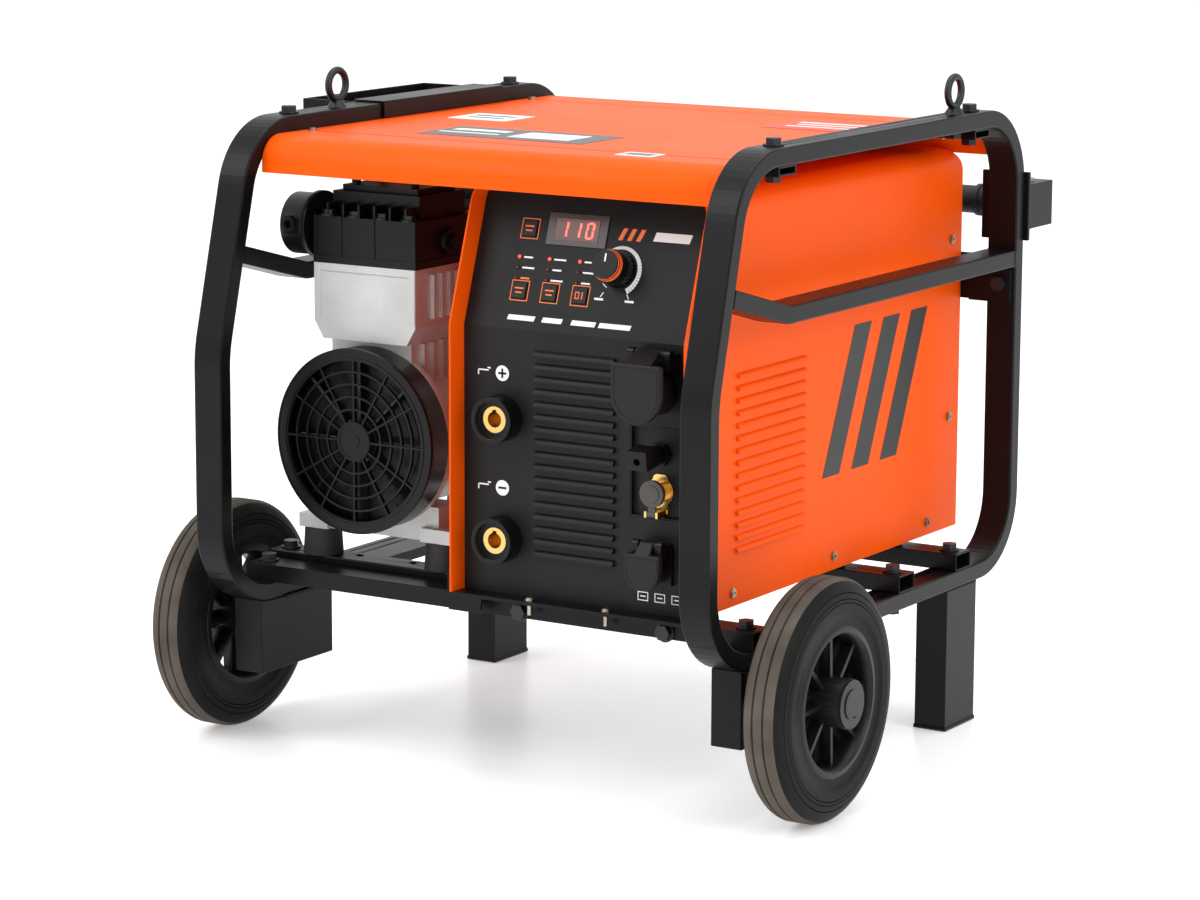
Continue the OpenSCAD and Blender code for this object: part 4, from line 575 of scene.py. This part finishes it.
def frame_beads():
    """Welds where the side bars, the axle boxes and the rear legs meet the hoops."""
    bar_lo, bar_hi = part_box("side_bars")
    z0, y0 = bar_lo[2], bar_hi[1]
    runs = []
    for lo, hi in ((HOOP_LO, HOOP_HI), (RIGHT_LO, RIGHT_HI)):
        for x in (lo[0] + 0.001, hi[0] - 0.001):
            runs.append(((x, y0 - 0.0005, z0 + 0.002), (x, y0 - 0.0005, z0 + 0.013)))
        runs.append(((lo[0] + 0.002, y0 - 0.0005, z0), (hi[0] - 0.002, y0 - 0.0005, z0)))
    bead("side_bar_welds", runs, 0.0020)
    box_lo, box_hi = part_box("axle_boxes")
    z = HOOP_LO[2]
    inner = abs(HOOP_HI[0])
    runs = []
    for s in (-1, 1):
        runs.append(((s * (inner - 0.0002), box_lo[1] + 0.036, z - 0.0005),
                     (s * (inner - 0.0002), box_hi[1] - 0.012, z - 0.0005)))
        runs.append(((s * (inner + 0.003), box_hi[1] + 0.0003, z),
                     (s * (HOOP_HI[0] * -1 + 0.025), box_hi[1] + 0.0003, z)))
    bead("axle_box_welds", runs, 0.0024)
    leg_lo, leg_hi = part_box("rear_legs")
    runs = []
    for s in (-1, 1):
        for y in (leg_lo[1] + 0.0008, leg_hi[1] - 0.0008):
            runs.append(((s * (inner + 0.002), y, z), (s * (inner + 0.026), y, z)))
    bead("leg_welds", runs, 0.0022)


frame_beads()


HEADS_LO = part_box("pump_heads")[0]
FANS_LO, FANS_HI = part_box("fan_covers")
PUMP_X = (FANS_LO[0] + FANS_HI[0]) / 2
FAN_Z = (FANS_LO[2] + FANS_HI[2]) / 2


def pump_trim():
    """Head bolts with washers, and raised rims on the front fan cover."""
    y = HEADS_LO[1] + 0.0075
    z = HEADS_LO[2] + 0.040
    bm = bmesh.new()
    for x in (-0.041, -0.014, 0.014, 0.041):
        disc(bm, 0.0052, Matrix.Translation((PUMP_X + x, y, z + 0.0025)), t=0.005, n=6)
        disc(bm, 0.0068, Matrix.Translation((PUMP_X + x, y, z + 0.0007)), t=0.0014, n=24)
    piece("head_bolts", bm, BLACK_STEEL)
    bm = bmesh.new()
    face = Matrix.Translation((PUMP_X, FANS_LO[1] + 0.0002, FAN_Z))
    face = face @ Matrix.Rotation(math.pi / 2, 4, "X")
    for r in (0.0795, 0.0720):
        ring(bm, r, r - 0.0014, face, t=0.0016, n=96)
    ring(bm, 0.0165, 0.0145, face, t=0.0014, n=48)
    disc(bm, 0.006, face, t=0.0014)
    piece("fan_cover_rims", bm, BLACK_MOULD)


pump_trim()


def fan_backs():
    """Dark stepped plates behind the two fans, each with a ring of small screws."""
    body_lo, body_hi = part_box("pump_body")
    bm = bmesh.new()
    for out, y in ((-1, body_lo[1]), (1, body_hi[1])):
        here = Matrix.Translation((PUMP_X, y, FAN_Z))
        here = here @ Matrix.Rotation(-out * math.pi / 2, 4, "X")
        disc(bm, 0.0740, here @ Matrix.Translation((0, 0, 0.0004)), t=0.0006, n=72)
        for r in (0.0715, 0.0560, 0.0400):
            ring(bm, r, r - 0.0022, here @ Matrix.Translation((0, 0, 0.0009)), t=0.0008, n=72)
        for k in range(6):
            spot = here @ Matrix.Rotation(k * math.pi / 3, 4, "Z")
            disc(bm, 0.0026, spot @ Matrix.Translation((0.0640, 0, 0.001)), t=0.0010, n=16)
    piece("fan_back_plates", bm, BLACK_MOULD)


fan_backs()


def block(bm, x0, x1, y0, y1, z0, z1):
    """A plain block between two corners."""
    mid = Matrix.Translation(((x0 + x1) / 2, (y0 + y1) / 2, (z0 + z1) / 2))
    got = bmesh.ops.create_cube(bm, size=1.0,
                                matrix=mid @ Matrix.Diagonal((x1 - x0, y1 - y0, z1 - z0, 1)))
    return got["verts"]


def socket_lid(name, node, hinge, body, tongue_w):
    """Moulded lid: round below, square above, with a tongue up to its hinge barrel."""
    thick, barrel_r, line = 0.0065, 0.0034, 0.0012
    lo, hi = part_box(node)
    pivot = next(j for j in frame["joints"] if j["name"] == hinge)["pos_m"]
    cx = pivot[0]
    r = (hi[0] - lo[0]) / 2
    y0, y1 = lo[1], lo[1] + thick
    cz = lo[2] + r
    top = pivot[2] - 0.0062
    bm = bmesh.new()
    bmesh.ops.create_circle(bm, cap_ends=True, segments=96, radius=r)
    for v in bm.verts:
        if v.co.y > 0:
            v.co *= min(r / max(abs(v.co.x), 1e-6), (top - cz) / max(v.co.y, 1e-6))
    pushed = bmesh.ops.extrude_face_region(bm, geom=list(bm.faces))["geom"]
    bmesh.ops.translate(bm, vec=(0, 0, y0 - y1),
                        verts=[g for g in pushed if isinstance(g, bmesh.types.BMVert)])
    bmesh.ops.transform(bm, verts=bm.verts, matrix=Matrix.Translation((cx, y0, cz))
                        @ Matrix.Rotation(math.pi / 2, 4, "X"))
    tongue = block(bm, cx - tongue_w, cx + tongue_w, y0, y0 + 0.004, top - 0.001,
                   pivot[2] + 0.003)
    for v in tongue:
        if v.co.z > pivot[2]:
            v.co.y += pivot[1] - y0 - 0.003
            v.co.x = cx + (v.co.x - cx) * 0.82
    barrel = Matrix.Translation(tuple(pivot)) @ Matrix.Rotation(math.pi / 2, 4, "Y")
    bmesh.ops.create_cone(bm, cap_ends=True, segments=28, radius1=barrel_r, radius2=barrel_r,
                          depth=tongue_w * 2, matrix=barrel)
    lid = piece(name, bm, GREY_MOULD, body=body, edge=0.0009)
    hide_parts(node)
    marks = bmesh.new()
    front = Matrix.Translation((cx, y0 + 0.0003, cz)) @ Matrix.Rotation(math.pi / 2, 4, "X")
    ring(marks, r * 0.90, r * 0.84, front, t=line, n=48, start=math.pi, sweep=math.pi)
    for s in (-1, 1):
        bar(marks, r * 0.06, top - cz - 0.003,
            front @ Matrix.Translation((s * r * 0.87, (top - cz - 0.003) / 2, 0)), t=line)
    bar(marks, r * 1.70, r * 0.06, front @ Matrix.Translation((0, top - cz - 0.0035, 0)), t=line)
    outline_box(marks, r * 1.15, r * 0.44, 0.0009, front @ Matrix.Translation((0, -r * 0.10, 0)))
    piece(name + "_mould_lines", marks, GREY_MOULD, body=body)


socket_lid("large_lid_cover", "pump_socket_lid", "large_lid_hinge", "large_lid", 0.0132)
socket_lid("small_lid_cover", "aux_socket_lid", "small_lid_hinge", "small_lid", 0.0073)


def cast_marks():
    """Raised corner posts and a stepped band on the cylinder block below the front head."""
    front, z = HEADS_LO[1], HEADS_LO[2]
    bm = bmesh.new()
    for x in (-0.0485, 0.0485):
        place = Matrix.Translation((PUMP_X + x, front + 0.0003, z - 0.024))
        size = Matrix.Diagonal((0.006, 0.0016, 0.046, 1))
        bmesh.ops.create_cube(bm, size=1.0, matrix=place @ size)
    for k in range(3):
        place = Matrix.Translation((PUMP_X, front + 0.0002, z - 0.006 - 0.0006 * k))
        size = Matrix.Diagonal((0.100 - 0.004 * k, 0.0010, 0.0016, 1))
        bmesh.ops.create_cube(bm, size=1.0, matrix=place @ size)
    piece("block_marks", bm, CAST, smooth=False, edge=0.0004)


cast_marks()

# ---------- floor, light and camera ----------

def plain(name, bm, finish):
    """Turns a bmesh into a part of the studio, which is not part of the machine."""
    mesh = bpy.data.meshes.new(name)
    bm.to_mesh(mesh)
    bm.free()
    obj = bpy.data.objects.new(name, mesh)
    bpy.context.scene.collection.objects.link(obj)
    mesh.materials.append(finish)
    return obj


def studio():
    """Pale floor, a bright even surround and three large soft lamps."""
    bm = bmesh.new()
    bmesh.ops.create_grid(bm, x_segments=1, y_segments=1, size=12.0)
    bmesh.ops.translate(bm, vec=(0, 0, -0.0004), verts=bm.verts)
    plain("floor", bm, FLOOR)
    world = bpy.data.worlds.new("studio")
    bpy.context.scene.world = world
    world.use_nodes = True
    world.node_tree.nodes["Background"].inputs["Color"].default_value = (1, 1, 1, 1)
    world.node_tree.nodes["Background"].inputs["Strength"].default_value = 1.0
    lamps = (("key", (-1.6, -2.2, 2.6), 1.8, 46), ("side", (2.9, -0.6, 1.7), 1.6, 30),
             ("top", (0.2, 0.3, 3.0), 2.4, 40))
    for name, at, size, power in lamps:
        data = bpy.data.lights.new(name, "AREA")
        data.size = size
        data.energy = power
        obj = bpy.data.objects.new(name, data)
        bpy.context.scene.collection.objects.link(obj)
        obj.location = at
        aim = Vector((0, 0, 0.28)) - Vector(at)
        obj.rotation_euler = aim.to_track_quat("-Z", "Y").to_euler()


def camera():
    """Long lens, right of the front and a little above, with a very slight roll."""
    turn, lift, roll = math.radians(31.93), math.radians(10.46), math.radians(0.227)
    stand = (1.7463, FRONT_Y - 2.5592, 0.8622)
    data = bpy.data.cameras.new("camera")
    data.lens = 116.55
    data.sensor_width = 36.0
    data.clip_end = 60.0
    obj = bpy.data.objects.new("camera", data)
    bpy.context.scene.collection.objects.link(obj)
    place = Matrix.Translation(stand)
    look = Matrix.Rotation(turn, 4, "Z") @ Matrix.Rotation(math.pi / 2 - lift, 4, "X")
    obj.matrix_world = place @ look @ Matrix.Rotation(roll, 4, "Z")
    bpy.context.scene.camera = obj


studio()
camera()
bpy.context.scene.view_settings.view_transform = "Standard"
